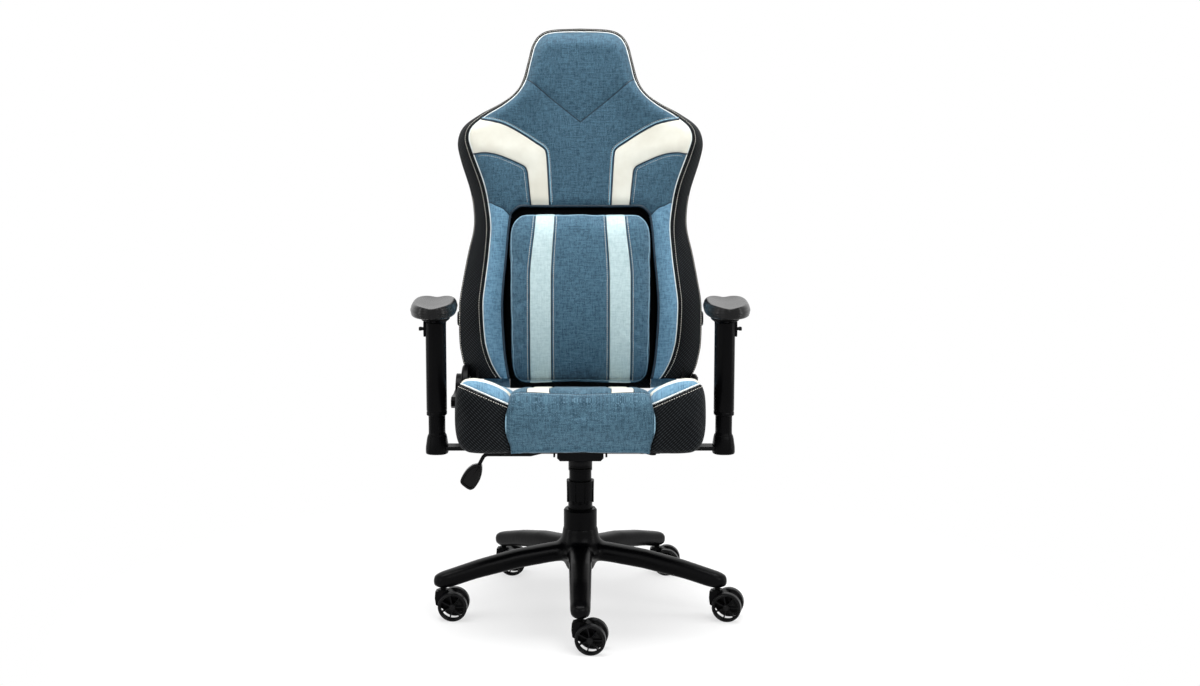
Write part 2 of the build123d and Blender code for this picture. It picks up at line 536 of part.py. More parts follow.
def back_plate(side):
    """Recliner plate on the backrest's side: a round eye on the pivot and a tongue in the foam."""
    plate = rod_x(26, BACK_PLATE_X, BACK_PLATE_X + SIDE_PLATE_T, 0, 0)
    plate += box(BACK_PLATE_X, BACK_PLATE_X + SIDE_PLATE_T, -22, 22, 0, 150)
    plate -= rod_x(PIN_BORE_R, BACK_PLATE_X - 1, BACK_PLATE_X + SIDE_PLATE_T + 1, 0, 0)
    return leaning(mirrored(plate, side))


def lumbar_pad():
    """Crowned pad that stands out of the pocket."""
    plan = Plane.XZ * Pos(0, (PAD_LOW + PAD_HIGH) / 2) * RectangleRounded(
        2 * PAD_X, PAD_HIGH - PAD_LOW, 32)
    pad = Pos(0, PAD_REAR, 0) * extrude(plan, amount=PAD_REAR - PAD_FRONT, dir=(0, -1, 0))
    return leaning(chamfer(pad.faces().sort_by(Axis.Y)[0].edges(), 20, 26))


def lumbar_carriage():
    """Plate behind the pad with two guide pins that pass through the foam to the cams."""
    plate = box(-110, 110, PAD_REAR, PAD_REAR + 4, SHAFT_H - 40, SHAFT_H + 40)
    for x in (-80, 80):
        plate += rod_y(6, PAD_REAR + 4, SHAFT_D - 14, x, SHAFT_H)
    return leaning(plate)


def lumbar_shaft():
    """Cross shaft with a cam behind each guide pin."""
    shaft = rod_x(SHAFT_R, -KNOB_OUT + 4, KNOB_OUT - 4, SHAFT_D, SHAFT_H)
    for x in (-80, 80):
        shaft += rod_x(6.2, x - 8, x + 8, SHAFT_D, SHAFT_H)
    return leaning(shaft)


def lumbar_knob(side):
    """Fluted hand wheel on the shaft's end."""
    knob = rod_x(KNOB_R, KNOB_IN, KNOB_OUT, SHAFT_D, SHAFT_H)
    knob = chamfer(knob.faces().sort_by(Axis.X)[-1].edges(), 2)
    for i in range(12):
        angle = math.radians(30 * i)
        flute = rod_x(1.5, KNOB_IN - 1, KNOB_OUT + 1, SHAFT_D + (KNOB_R + 0.6) * math.cos(angle),
                      SHAFT_H + (KNOB_R + 0.6) * math.sin(angle))
        knob -= flute
    knob -= rod_x(SHAFT_R, 0, KNOB_OUT - 4, SHAFT_D, SHAFT_H)
    return leaning(mirrored(knob, side))


# ---------------------------------------------------------------- the whole chair


def chair():
    nodes = {
        "star_base": star_base(),
        "gas_column": gas_column(),
        "thrust_bearing": thrust_bearing(),
        "piston_rod": piston_rod(),
        "gas_cylinder": gas_cylinder(),
        "gas_valve": gas_valve(),
        "column_cover_lower": column_cover_lower(),
        "column_cover_middle": column_cover_middle(),
        "column_cover_upper": column_cover_upper(),
        "mechanism_housing": mechanism_housing(),
        "tilt_pin": tilt_pin(),
        "tilt_spring": tilt_spring(),
        "lock_slider": lock_slider(),
        "lift_lever_rod": lift_lever_rod(),
        "lift_lever_paddle": lift_lever_paddle(),
        "mechanism_plate": mechanism_plate(),
        "seat_board": seat_board(),
        "seat_cushion": seat_cushion(),
        "recline_lever": recline_lever(),
        "back_cushion": back_cushion(),
        "back_rear_panel": back_rear_panel(),
        "back_frame": back_frame(),
        "lumbar_pad": lumbar_pad(),
        "lumbar_carriage": lumbar_carriage(),
        "lumbar_shaft": lumbar_shaft(),
    }
    for name, side in SIDES.items():
        nodes[f"seat_side_frame_{name}"] = seat_side_frame(side)
        nodes[f"seat_bolster_{name}"] = seat_bolster(side)
        nodes[f"recliner_cover_{name}"] = recliner_cover(side)
        nodes[f"back_plate_{name}"] = back_plate(side)
        nodes[f"lumbar_knob_{name}"] = lumbar_knob(side)
        nodes[f"arm_bracket_{name}"] = arm_bracket(side)
        nodes[f"arm_post_{name}"] = arm_post(side)
        nodes[f"arm_sleeve_{name}"] = arm_sleeve(side)
        nodes[f"arm_button_{name}"] = arm_button(side)
        nodes[f"arm_pad_{name}"] = arm_pad(side)
    nodes.update(casters())
    return nodes


os.makedirs("parts", exist_ok=True)
for node, shape in chair().items():
    export_step(shape, f"parts/{node}.step")
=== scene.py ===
import json
import math
from contextlib import contextmanager

import bmesh
import bpy
import numpy as np
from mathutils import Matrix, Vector
from mathutils.bvhtree import BVHTree
from mathutils.geometry import delaunay_2d_cdt


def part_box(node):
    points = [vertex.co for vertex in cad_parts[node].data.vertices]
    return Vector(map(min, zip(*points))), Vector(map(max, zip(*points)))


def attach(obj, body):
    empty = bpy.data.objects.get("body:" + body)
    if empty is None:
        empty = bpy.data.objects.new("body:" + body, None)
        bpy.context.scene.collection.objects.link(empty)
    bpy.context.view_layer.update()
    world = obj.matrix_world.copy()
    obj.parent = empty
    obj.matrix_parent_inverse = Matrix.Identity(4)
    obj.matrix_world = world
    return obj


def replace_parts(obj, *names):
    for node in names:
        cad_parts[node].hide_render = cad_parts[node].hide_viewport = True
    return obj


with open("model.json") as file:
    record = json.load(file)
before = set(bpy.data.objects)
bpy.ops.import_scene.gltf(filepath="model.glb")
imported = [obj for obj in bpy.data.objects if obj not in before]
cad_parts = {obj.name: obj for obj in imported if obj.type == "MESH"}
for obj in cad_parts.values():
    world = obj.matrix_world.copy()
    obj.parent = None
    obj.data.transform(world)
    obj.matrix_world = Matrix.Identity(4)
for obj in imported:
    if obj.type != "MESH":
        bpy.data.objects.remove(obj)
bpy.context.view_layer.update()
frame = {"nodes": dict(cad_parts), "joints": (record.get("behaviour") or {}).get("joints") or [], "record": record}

# Sizes and places are in millimetres and become metres when a mesh is made.
MM = 0.001
SIDES = {"left": 1, "right": -1}
CASTERS = ("front", "left", "rear_left", "rear_right", "right")
LEAN = math.radians(9)
RECLINE = next(j for j in frame["joints"] if j["name"] == "back_recline")["pos_m"]
RECLINE_Y, RECLINE_Z = RECLINE[1] / MM, RECLINE[2] / MM

FAR, TINY = 1e9, 1e-9
WELD, FINE_WELD = 0.02, 0.01
CREASE_ANGLE = math.radians(40)
ASKEW = (0.31, 0.52, 0.79)  # a direction that no cord starts along
HIGH_ABOVE, RAY_START = 700.0, 500
COVER_PRESSURE, COVER_FRAMES = 4.0, 20
THREAD_PITCH = 1.5 * MM
TWILL_PITCH = 4.2 * MM

# Backrest in its leaning frame: half width, height, width of the black border there
BACK_EDGE = [
    (246, 33, 72), (251, 42, 69), (260, 62, 65), (266, 86, 62), (270, 110, 61), (272, 155, 59), (271, 205, 57),
    (264, 250, 55), (252, 313, 51), (240, 365, 43), (239, 405, 38), (247, 455, 36), (268, 522, 33),
    (275, 563, 30), (262, 598, 26), (225, 626, 19), (179, 651, 15), (148, 674, 12), (130, 702, 10),
    (118, 745, 9), (108, 782, 9), (91, 806, 9), (62, 817, 9), (0, 820, 9),
]
BACK_FOOT, OUTSIDE = 33, 330
EDGE_DEPTH, REAR_SEAM_DEPTH, REAR_DEPTH = 4, 58, 68
LINER_DEPTH = 13
SNAP = 22  # a seam's end this close to the border runs on to it
WING_HEIGHTS = [33, 100, 200, 320, 430, 540, 590, 640, 700, 820]
WING_FORWARD = [16, 20, 25, 22, 24, 34, 28, 15, 6, 2]
WING_SHARE = (0.4, 0.93)
# The front's relief: heights of the neck, the head and its crown, then depths and widths
NECK, HEAD, CROWN = (620, 720), (740, 800), (770, 820)
FRONT_DEPTH, HEAD_SWELL = 25, 7
EDGE_ROLL, NECK_ROLL, HEAD_ROLL, ROLL_SLOPE = 15, 14, 16, 0.62
SEAM_PUFF, PUFF_WIDTH, GROOVE_WIDTH = 3.2, 15, 2.2
RIM_DROP, RIM_WIDTH = 6, 9

# Seams of the backrest's front, on the sitter's left half
V_SEAM = [(120, 701), (60, 652), (0, 604)]
SHOULDER_TOP = [(216, 605), (190, 601), (164, 594), (130, 577), (92, 553), (81, 545), (76, 536),
                (73, 507), (68, 416)]
SHOULDER_LOW = [(238, 527), (211, 530), (181, 526), (147, 514), (127, 505), (120, 498), (117, 482),
                (110, 416)]
SIDE_SEAM = [(199, 423), (188, 416), (170, 408), (153, 391)]
POCKET_RIM = [(0, 416), (118, 416), (138, 412), (150, 402), (156, 385), (163, 309), (172, 199), (167, 96),
              (159, 41), (157, 33)]
POCKET_FLOOR, POCKET_WALL = 2, 5
REAR_SEAM = [(150, BACK_FOOT), (140, 200), (120, 400), (104, 560), (60, 700), (40, 800)]

# Flap below the backrest, as (to the rear, up)
FLAP_MIDDLE = np.array([(3, 46), (5, 34), (10, 24), (14, 15), (16.5, 12), (18.5, 14), (16, 24), (12, 34),
                        (10, 46)])
FLAP_SIDE = np.array([(-13, 40), (-12, 34), (-4, 24), (6, 16), (11, 13), (13, 15), (4, 25), (-3, 35),
                      (-3, 42)])
FLAP_INNER, FLAP_OUTER, FLAP_STEPS, RIPPLE = 157, 214, 41, 17

# Lumbar pad
PAD_EDGE = [(0, 398), (118, 395), (138, 388), (149, 374), (154, 350), (156, 300), (156, 197), (152, 95),
            (146, 45), (134, 28), (110, 25), (0, 25)]
# Inset and depth of each ring, from the pad's back to its front
PAD_RINGS = [(34, -3), (8, -4), (0, -14), (0, -46), (3, -58), (9, -65), (22, -70), (46, -73), (90, -75)]
PAD_MIDDLE, PAD_FALL_LOW, PAD_FALL_HIGH = 235, 32, 11
PAD_SEAM_DEPTH = -54
PAD_STRIPE = (63, 111)
PAD_ROOM = 5

# Seat
SEAM_X = 145
CUSHION_SIDE = [
    (-222, 375), (-243, 379), (-256, 393), (-261, 425), (-259, 458), (-252, 478), (-238, 491), (-212, 496),
    (-190, 492), (-160, 487), (-100, 476), (40, 453), (140, 441), (188, 435), (205, 428), (211, 412), (210, 390),
    (198, 375),
]
SEAT_STRIPE, STRIPE_LOW = (60, 104), 430
SEAT_CROSS_SEAM = -222
# Along the bolster: y, crest height, drop to the middle seam, outer half width, inset
BOLSTER_STATIONS = [
    (-262, 497, 32, 234, 18), (-260, 503, 34, 237, 11), (-254, 509, 36, 239, 5), (-240, 515, 37, 241, 1),
    (-205, 520, 39, 242, 0), (-185, 516, 41, 243, 0), (-100, 497, 41, 244, 0), (20, 472, 36, 243, 0),
    (80, 463, 32, 240, 0), (115, 457, 28, 230, 0), (145, 451, 24, 221, 0), (190, 442, 16, 215, 2),
    (200, 438, 13, 213, 8),
]
# The plane between the wing and the black side: a point of it and its slopes
WING_SEAM_START, WING_SEAM_RISE, WING_SEAM_FALL = (136, -258, 474), 0.44, 0.19
WING_NORMAL = np.array([-WING_SEAM_RISE, WING_SEAM_FALL, 1.0])
WING_NORMAL /= np.linalg.norm(WING_NORMAL)
WING_MIDDLE, WING_HALF_WIDTH, WING_HALF_LENGTH = (186, -60, 470), 55, 170
BAND_FRONT, BAND_REAR = -218, -138
BOLSTER_FRONT = -245
SEAT_FLOOR = 374
SEAT_MIDDLE, SEAT_RAY_START = (-40, 430), 600

# Armrest
ARM_X, ARM_Y, ARM_PAD_X = 297, -30, 301
# Half width, half depth and height of the rings that make the tubes
SLEEVE_RINGS = [
    (17.4, 22.4, 416), (20, 26.2, 415), (20.8, 27.1, 416), (20.8, 27.1, 421), (20.2, 26.4, 422), (20.2, 26.4, 424),
    (20.75, 27, 425), (20.75, 27, 500), (20.75, 27, 598), (21, 27.4, 606), (23, 32, 609.5), (27, 41, 612),
    (28.6, 44.6, 614), (28.75, 45, 621), (27.8, 44, 622.6),
]
POST_RINGS = [
    (20.5, 26, 334), (22.8, 28.3, 335), (23.5, 29, 338), (23.2, 28.7, 348), (20.6, 26, 366), (19.2, 24.4, 371.5),
    (18, 23, 373.5), (17.2, 22.2, 374.5), (17, 22, 381), (17, 22, 460), (17, 22, 548),
]
BEZEL_Z = 593.5
# How far out, half width and half height of the rings round the height button, and of the button
BEZEL_RINGS = [(315, 11, 15.5), (320.4, 12, 16.5), (321.6, 11.4, 15.9), (321.6, 7.6, 6.4), (319.4, 7, 5.6)]
BUTTON_RINGS = [(304, 5.2, 3.3), (326, 5.2, 3.3), (326.4, 5.8, 4.0), (330.4, 5.8, 4.0), (331.6, 4.8, 3.1)]

# Base leg: distances from the axis, and the top, underside and half width there
LEG_TOP = [0, 60, 140, 220, 297, 313, 317.5], [141, 139, 131, 116, 97, 91, 84]
LEG_LOW = [0, 60, 140, 230, 283, 305, 317.5], [100, 101, 93, 78, 65, 65, 70]
LEG_HALF = [0, 30, 297], [27, 25.5, 20.3]
LEG_ROUND = 297

# Turned forms, as radius and height
HUB_PROFILE = [(22, 76), (27, 76), (33, 92), (44, 104), (58, 112), (60, 122), (52, 132), (44, 140),
               (39.5, 150), (37.4, 162), (36.9, 172), (30, 173), (22, 173)]
RIM_BEADS = ((27.2, 7.6), (24.6, 6.2))
HUB_CAP = [(0.4, 9.0), (3, 8.8), (5.4, 8.0), (6.2, 6.6), (6.2, 4)]
WHEEL_WEB = [(6, -5.6), (25.4, -5.6), (25.4, -4.6), (6, -4.6)]

# Socket screws: radius of the circle and distance out on each recliner cover, then heights elsewhere
COVER_SCREWS = {1: (37, 260), -1: (56, 262)}
BRACKET_SCREW_Z, PLATE_SCREW_Z, FLANGE_SCREW_Z = 342, 345, 613

# Lift lever's paddle, seen from the front: across, up
PADDLE_EDGE = [(-223, 303), (-208, 304), (-206, 290), (-210, 273), (-220, 256), (-228, 250), (-236, 251),
               (-248, 260), (-252, 267), (-249, 277), (-240, 291), (-230, 300)]
PADDLE_RINGS = [(6, -7.2), (4.6, -8.8), (2.0, -9.2), (0.4, -8.4), (0, -6.5), (0, 6.5), (1.5, 8.8)]

# Studio, in metres and watts: name, place, size and power of each lamp
LAMPS = (
    ("key_lamp", (1.9, -3.2, 2.6), (2.2, 2.2), 57),
    ("fill_lamp", (-2.4, -3.0, 1.6), (2.2, 2.4), 25),
    ("top_lamp", (0, 0.1, 3.2), (2.6, 1.6), 125),
    ("left_edge_lamp", (-2.6, -0.2, 1.0), (0.5, 2.0), 12),
    ("right_edge_lamp", (2.6, -0.2, 1.0), (0.5, 2.0), 14),
)
LAMP_AIM = (0, 0, 0.65)
TOWARDS_REAR, SURROUND_LIGHT = (0, 1, 0.7), (0.07, 0.9)
FLOOR_REACH = 14.0
CAMERA_PLACE, CAMERA_DIP = (0, -3.03, 0.948), 7.3
CAMERA_LENS, CAMERA_FILM, CAMERA_SHIFT = 44.1, 36.0, 0.0164


# ---------------------------------------------------------------- lines and skins


def curve(points, per=8, closed=False):
    """A smooth line through the points, with per steps between each pair."""
    p = np.asarray(points, float)
    if closed:
        p = np.vstack([p[-1:], p, p[:2]])
    else:
        p = np.vstack([2 * p[0] - p[1], p, 2 * p[-1] - p[-2]])
    t = np.linspace(0, 1, per, endpoint=False)[:, None]
    spans = []
    for a, b, c, d in zip(p, p[1:], p[2:], p[3:]):
        spans.append(0.5 * (2 * b + (c - a) * t + (2 * a - 5 * b + 4 * c - d) * t**2
                            + (3 * b - a - 3 * c + d) * t**3))
    line = np.vstack(spans)
    return line if closed else np.vstack([line, p[-2]])


def even(line, step, closed=False):
    """The line again, with points about step apart."""
    p = np.asarray(line, float)
    if closed:
        p = np.vstack([p, p[:1]])
    run = np.concatenate([[0], np.cumsum(np.linalg.norm(np.diff(p, axis=0), axis=1))])
    count = max(2, round(run[-1] / step)) + 1
    at = np.linspace(0, run[-1], count)
    out = np.column_stack([np.interp(at, run, p[:, i]) for i in range(p.shape[1])])
    return out[:-1] if closed else out


def mirror_line(line):
    """The right-hand half after the left-hand one, as a line from foot to foot over the top."""
    other = line[::-1] * np.array([-1] + [1] * (line.shape[1] - 1))
    return np.vstack([line, other[1:]])


def tangents(line, closed=False):
    """Unit directions along the line."""
    if closed:
        along = np.roll(line, -1, axis=0) - np.roll(line, 1, axis=0)
    else:
        along = np.gradient(line, axis=0)
    return along / np.linalg.norm(along, axis=1)[:, None]


def inward(line, closed=False):
    """Unit normals in the plane, to the left of the line's direction."""
    along = tangents(line, closed)
    return np.column_stack([-along[:, 1], along[:, 0]])


def shrunk(loop, inset):
    """The closed loop moved inwards all round."""
    ahead = np.roll(loop, -1, axis=0)
    turns_left = np.sum(loop[:, 0] * ahead[:, 1] - ahead[:, 0] * loop[:, 1]) > 0
    return loop + inward(loop, True) * (1 if turns_left else -1) * inset


def distance(points, line, closed=False):
    """How far each point of the plane is from the line."""
    best = np.full(len(points), FAR)
    ends = np.roll(line, -1, axis=0) if closed else line[1:]
    for a, b in zip(line, ends):
        span = b - a
        t = np.clip(((points - a) @ span) / max(span @ span, TINY), 0, 1)
        best = np.minimum(best, np.linalg.norm(points - a - t[:, None] * span, axis=1))
    return best


def nearest(points, lines):
    """How far each point of the plane is from the nearest of the lines."""
    best = np.full(len(points), FAR)
    for line in lines:
        best = np.minimum(best, distance(points, line))
    return best


def inside(points, loop):
    """True for each point of the plane that lies inside the closed loop."""
    x, y = points[:, 0], points[:, 1]
    odd = np.zeros(len(points), bool)
    for (x0, y0), (x1, y1) in zip(loop, np.roll(loop, -1, axis=0)):
        crosses = (y0 > y) != (y1 > y)
        odd ^= crosses & (x < (x1 - x0) * (y - y0) / (y1 - y0 + 1e-12) + x0)
    return odd


def ease(low, high, value):
    """0 below low, 1 above high, and a smooth step between."""
    t = np.clip((np.asarray(value, float) - low) / (high - low), 0, 1)
    return t * t * (3 - 2 * t)


def bell(gap, width):
    """1 where there is no gap, and next to nothing two widths away."""
    return np.exp(-((gap / width) ** 2))


def at_depth(flat, depth):
    """Points of an (across, up) plane set at a depth, one for all or one for each."""
    return np.column_stack([flat[:, 0], np.broadcast_to(depth, len(flat)), flat[:, 1]])


def around(count):
    """Angles of a full turn in even steps."""
    return np.arange(count) * 2 * math.pi / count


def circle(radius, z, count):
    """A ring about Z. The radius may change from point to point."""
    angles = around(count)
    return np.column_stack([radius * np.cos(angles), radius * np.sin(angles), np.full(count, z)])


def blunt(value, power):
    """A sine or cosine with its sign kept, raised to a power that squares the circle off."""
    return np.sign(value) * np.abs(value) ** power


def lean(points):
    """Chair coordinates of the backrest's (across, to the rear, up) points."""
    p = np.atleast_2d(np.asarray(points, float))
    y = RECLINE_Y + p[:, 1] * math.cos(LEAN) + p[:, 2] * math.sin(LEAN)
    z = RECLINE_Z - p[:, 1] * math.sin(LEAN) + p[:, 2] * math.cos(LEAN)
    return np.column_stack([p[:, 0], y, z])


def skin(rings, wrap=True, caps=True):
    """Vertices and faces over rings of points; caps close the two ends to a middle point."""
    rows, cols = len(rings), len(rings[0])
    verts = np.vstack(rings)
    faces = []
    for r in range(rows - 1):
        for c in range(cols if wrap else cols - 1):
            d = (c + 1) % cols
            faces.append([r * cols + c, r * cols + d, (r + 1) * cols + d, (r + 1) * cols + c])
    if caps:
        last = (rows - 1) * cols
        verts = np.vstack([verts, np.mean(rings[0], axis=0), np.mean(rings[-1], axis=0)])
        for c in range(cols):
            d = (c + 1) % cols
            faces.append([d, c, rows * cols])
            faces.append([last + c, last + d, rows * cols + 1])
    return verts, faces


def tube(line, radius, sides=8, closed=False):
    """A round cord along the line."""
    p = np.asarray(line, float)
    along = tangents(p, closed)
    side = np.cross(along[0], ASKEW)
    angles = around(sides)
    rings = []
    for point, t in zip(p, along):
        side = side - t * (side @ t)
        side /= np.linalg.norm(side)
        up = np.cross(t, side)
        rings.append(point + radius * (np.outer(np.cos(angles), side) + np.outer(np.sin(angles), up)))
    if not closed:
        return skin(rings)
    first = rings[0][0] - p[0]
    shift = int(round(math.atan2(first @ up, first @ side) / (2 * math.pi / sides)))
    rings.append(np.roll(rings[0], shift, axis=0))
    return skin(rings, caps=False)


def turned(profile, sides=48):
    """A body of revolution about Z from (radius, z) points."""
    return skin([circle(r, z, sides) for r, z in profile])


# ---------------------------------------------------------------- meshes and pieces


def plain_mesh(name, verts, edges=(), faces=(), unit=MM):
    """A mesh from places in millimetres, or in another unit."""
    mesh = bpy.data.meshes.new(name)
    mesh.from_pydata((np.asarray(verts, float) * unit).tolist(), edges, faces)
    return mesh


def placed(name, data):
    """A new object of the scene: a mesh, a lamp or a camera."""
    obj = bpy.data.objects.new(name, data)
    bpy.context.scene.collection.objects.link(obj)
    return obj


def riding(name, mesh, body):
    """A piece of the chair that moves with its body."""
    obj = placed(name, mesh)
    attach(obj, body)
    return obj


@contextmanager
def opened(mesh):
    """The mesh opened for editing, and written back afterwards."""
    bm = bmesh.new()
    bm.from_mesh(mesh)
    yield bm
    bm.to_mesh(mesh)
    bm.free()


def welded(mesh, gap):
    """Joins points that lie within the gap and turns the faces outwards."""
    with opened(mesh) as bm:
        bmesh.ops.remove_doubles(bm, verts=bm.verts, dist=gap * MM)
        bmesh.ops.recalc_face_normals(bm, faces=bm.faces)


def evaluated(obj):
    """A mesh of the object with its modifiers; the object goes."""
    depsgraph = bpy.context.evaluated_depsgraph_get()
    mesh = bpy.data.meshes.new_from_object(obj.evaluated_get(depsgraph))
    bpy.data.objects.remove(obj)
    return mesh


class Shell:
    """The faces of one piece, gathered part by part."""

    def __init__(self):
        self.verts, self.cloth, self.faces, self.kinds = [], [], [], []

    def add(self, part, kind=0, cloth=None, place=None):
        """kind is the finish's number, for all the faces or for each. place moves the points."""
        verts, faces = part
        verts = np.asarray(verts, float)
        if place is not None:
            verts = place(verts)
        start = sum(len(v) for v in self.verts)
        self.verts.append(verts)
        self.cloth.append(verts[:, [0, 2]] if cloth is None else np.asarray(cloth, float))
        self.faces += [[i + start for i in f] for f in faces]
        self.kinds += [kind] * len(faces) if np.isscalar(kind) else list(kind)
        return self

    def piece(self, name, finishes, body, slot):
        """The finished object, riding on its body."""
        mesh = plain_mesh(name, np.vstack(self.verts), faces=self.faces)
        for finish in finishes:
            mesh.materials.append(finish)
        mesh.polygons.foreach_set("material_index", np.array(self.kinds, np.int32))
        mesh.polygons.foreach_set("use_smooth", np.ones(len(self.faces), bool))
        corners = np.zeros(len(mesh.loops), np.int32)
        mesh.loops.foreach_get("vertex_index", corners)
        layer = mesh.uv_layers.new(name="cloth")
        layer.data.foreach_set("uv", (np.vstack(self.cloth) * MM)[corners].ravel())
        welded(mesh, WELD)
        return riding(name, mesh, body)


def cords(name, lines, finish, body, place=None, closed=False):
    """One piece of piping or seam tape: a round cord for each (line, radius)."""
    shell = Shell()
    for line, radius in lines:
        shell.add(tube(line, radius, closed=closed), place=place)
    shell.piece(name, [finish], body, "fabric_blue")


def crease(obj):
    """Keeps edges crisp where flat faces meet at more than the crease angle."""
    with opened(obj.data) as bm:
        for edge in bm.edges:
            edge.smooth = len(edge.link_faces) == 2 and edge.calc_face_angle(0) < CREASE_ANGLE
    return obj


# ---------------------------------------------------------------- finishes


class Value:
    """A socket of a node tree, with the sums that its maths needs."""

    def __init__(self, nodes, socket):
        self.nodes, self.socket = nodes, socket

    def _sum(self, operation, first, second=0):
        return self.nodes.node("ShaderNodeMath", {"operation": operation}, {0: first, 1: second})

    def __add__(self, other):
        return self._sum("ADD", self, other)

    def __sub__(self, other):
        return self._sum("SUBTRACT", self, other)

    def __rsub__(self, other):
        return self._sum("SUBTRACT", other, self)

    def __mul__(self, other):
        return self._sum("MULTIPLY", self, other)

    __radd__, __rmul__ = __add__, __mul__

    def sine(self):
        return self._sum("SINE", self)

    def larger(self, other):
        return self._sum("MAXIMUM", self, other)

    def clip(self, low, high, start=0.0, end=1.0, kind="LINEAR"):
        """start below low, end above high, and a straight or smooth change between."""
        return self.nodes.node("ShaderNodeMapRange", {"clamp": True, "interpolation_type": kind},
                               {0: self, 1: low, 2: high, 3: start, 4: end})


class Nodes:
    """The nodes of one tree, which lead to its end node."""

    def __init__(self, tree, end):
        self.tree, self.end = tree, tree.nodes[end]

    def node(self, kind, settings=None, sockets=None, output=0):
        """Any node: its settings first, then the values or links of its sockets."""
        node = self.tree.nodes.new(kind)
        for key, value in (settings or {}).items():
            setattr(node, key, value)
        for key, value in (sockets or {}).items():
            if isinstance(value, Value):
                self.tree.links.new(value.socket, node.inputs[key])
            else:
                node.inputs[key].default_value = value
        return Value(self, node.outputs[output])

    def feed(self, socket, value):
        self.tree.links.new(value.socket, self.end.inputs[socket])

    def seen(self):
        """1 for the rays that see the surround: straight from the eye, off gloss and through glass."""
        eye, gloss, glass = (self.node("ShaderNodeLightPath", output=ray)
                             for ray in ("Is Camera Ray", "Is Glossy Ray", "Is Transmission Ray"))
        return eye.larger(gloss).larger(glass)


class Finish(Nodes):
    """One material: a Principled shader and the nodes that feed it."""

    def __init__(self, name, **constants):
        self.material = bpy.data.materials.new(name)
        self.material.use_nodes = True
        super().__init__(self.material.node_tree, "Principled BSDF")
        for socket, value in constants.items():
            self.end.inputs[socket.replace("_", " ").title().replace("Ior", "IOR")].default_value = value

    def place(self, stretch=(1, 1, 1), cloth=False):
        """The piece's own coordinates, or its cloth map, stretched."""
        if cloth:
            start = self.node("ShaderNodeUVMap", {"uv_map": "cloth"})
        else:
            start = self.node("ShaderNodeTexCoord", output="Object")
        return self.node("ShaderNodeVectorMath", {"operation": "MULTIPLY"}, {0: start, 1: stretch})

    def noise(self, scale, stretch=(1, 1, 1), cloth=False, detail=3.0, rough=0.55):
        """Soft random shades from 0 to 1, finer as the scale grows."""
        return self.node("ShaderNodeTexNoise", {},
                         {"Vector": self.place(stretch, cloth), "Scale": scale, "Detail": detail,
                          "Roughness": rough})

    def ramp_along(self, direction, cloth=False):
        """Distance along a direction of the piece's own coordinates or of its cloth map."""
        return self.node("ShaderNodeVectorMath", {"operation": "DOT_PRODUCT"},
                         {0: self.place(cloth=cloth), 1: direction}, output="Value")

    def mix(self, share, low, high):
        """The colour low where share is 0 and high where it is 1."""
        return self.node("ShaderNodeMix", {"data_type": "RGBA"}, {0: share, 6: low, 7: high}, output=2)

    def bump(self, height, strength, depth):
        """A relief of the height, its depth in millimetres."""
        self.feed("Normal", self.node("ShaderNodeBump", {},
                                      {"Strength": strength, "Distance": depth * MM, "Height": height}))


def paint(r, g, b):
    """A colour given as it looks on screen, 0 to 255, for a shader."""
    straight, curved = 12.92, 1.055
    shades = (c / 255 for c in (r, g, b))
    return tuple(((c + 0.055) / curved) ** 2.4 if c > 10 / 255 else c / straight for c in shades) + (1.0,)


def woven(name, shade, dark, light):
    """Heathered canvas: slubby yarns both ways over a fine plain weave."""
    f = Finish(name, roughness=0.92, sheen_weight=0.12, sheen_roughness=0.5, specular_ior_level=0.18)
    warp = f.noise(400, (1, 0.18, 1), True)
    across = f.noise(360, (0.2, 1, 1), True)
    slubs = f.noise(200, (1, 0.2, 1), True) + f.noise(180, (0.25, 1, 1), True)
    cloud = f.noise(26, cloth=True, detail=4.0)
    speck = f.noise(900, cloth=True, detail=1.0)
    yarns = (warp * 0.35 + across * 0.35 + slubs * 0.2).clip(0.46, 0.62)
    base = f.mix(yarns, dark, shade)
    base = f.mix(speck.clip(0.52, 0.72) * 0.55, base, light)
    f.feed("Base Color", f.mix(cloud.clip(0.3, 0.75) * 0.22, base, dark))
    turn = 2 * math.pi / THREAD_PITCH
    u, v = (f.ramp_along(way, True).sine() for way in ((turn, 0, 0), (0, turn, 0)))
    f.bump(u * v * 0.5 + yarns * 0.9 + speck * 0.5, 0.35, 0.35)
    return f.material


def cream_hide(name):
    """Smooth coated cloth in cream, with a fine pebble and a little soiling."""
    f = Finish(name, roughness=0.5, specular_ior_level=0.3)
    pebble = f.noise(700, detail=2.0)
    cloud = f.noise(14, detail=4.0)
    f.feed("Base Color", f.mix(cloud.clip(0.35, 0.7), paint(197, 195, 183), paint(211, 211, 201)))
    f.feed("Roughness", 0.42 + pebble * 0.2)
    f.bump(pebble + cloud * 0.6, 0.18, 0.25)
    return f.material


def black_hide(name, twill=1.0):
    """Black coated cloth embossed with a diagonal twill; its raised lines are painted lighter as a painted
    highlight, over random tone.
    """
    f = Finish(name, roughness=0.5, specular_ior_level=0.04)
    turn = 2 * math.pi / TWILL_PITCH / math.sqrt(2)
    lines = f.ramp_along((turn, -turn, 0), True).sine()
    breaks = f.ramp_along((turn / 2, turn / 2, 0), True).sine()
    weave = (lines * 0.6 + breaks * lines * 0.4).clip(-0.2, 0.9)
    cloud = f.noise(9, detail=4.0)
    grain = f.noise(800, detail=2.0)
    # The raised twill lines are painted lighter, a painted highlight in place of glints, mixed with random cloudy
    # tone.
    glint_and_tone = (weave * 0.55 * twill + cloud * 0.35).clip(0.2, 0.95)
    f.feed("Base Color", f.mix(glint_and_tone, paint(3, 4, 5), paint(54, 58, 61)))
    f.feed("Roughness", 0.55 - weave * 0.14 * twill + grain * 0.1)
    f.bump(weave * twill + grain * 0.25, 0.5, 0.3)
    return f.material


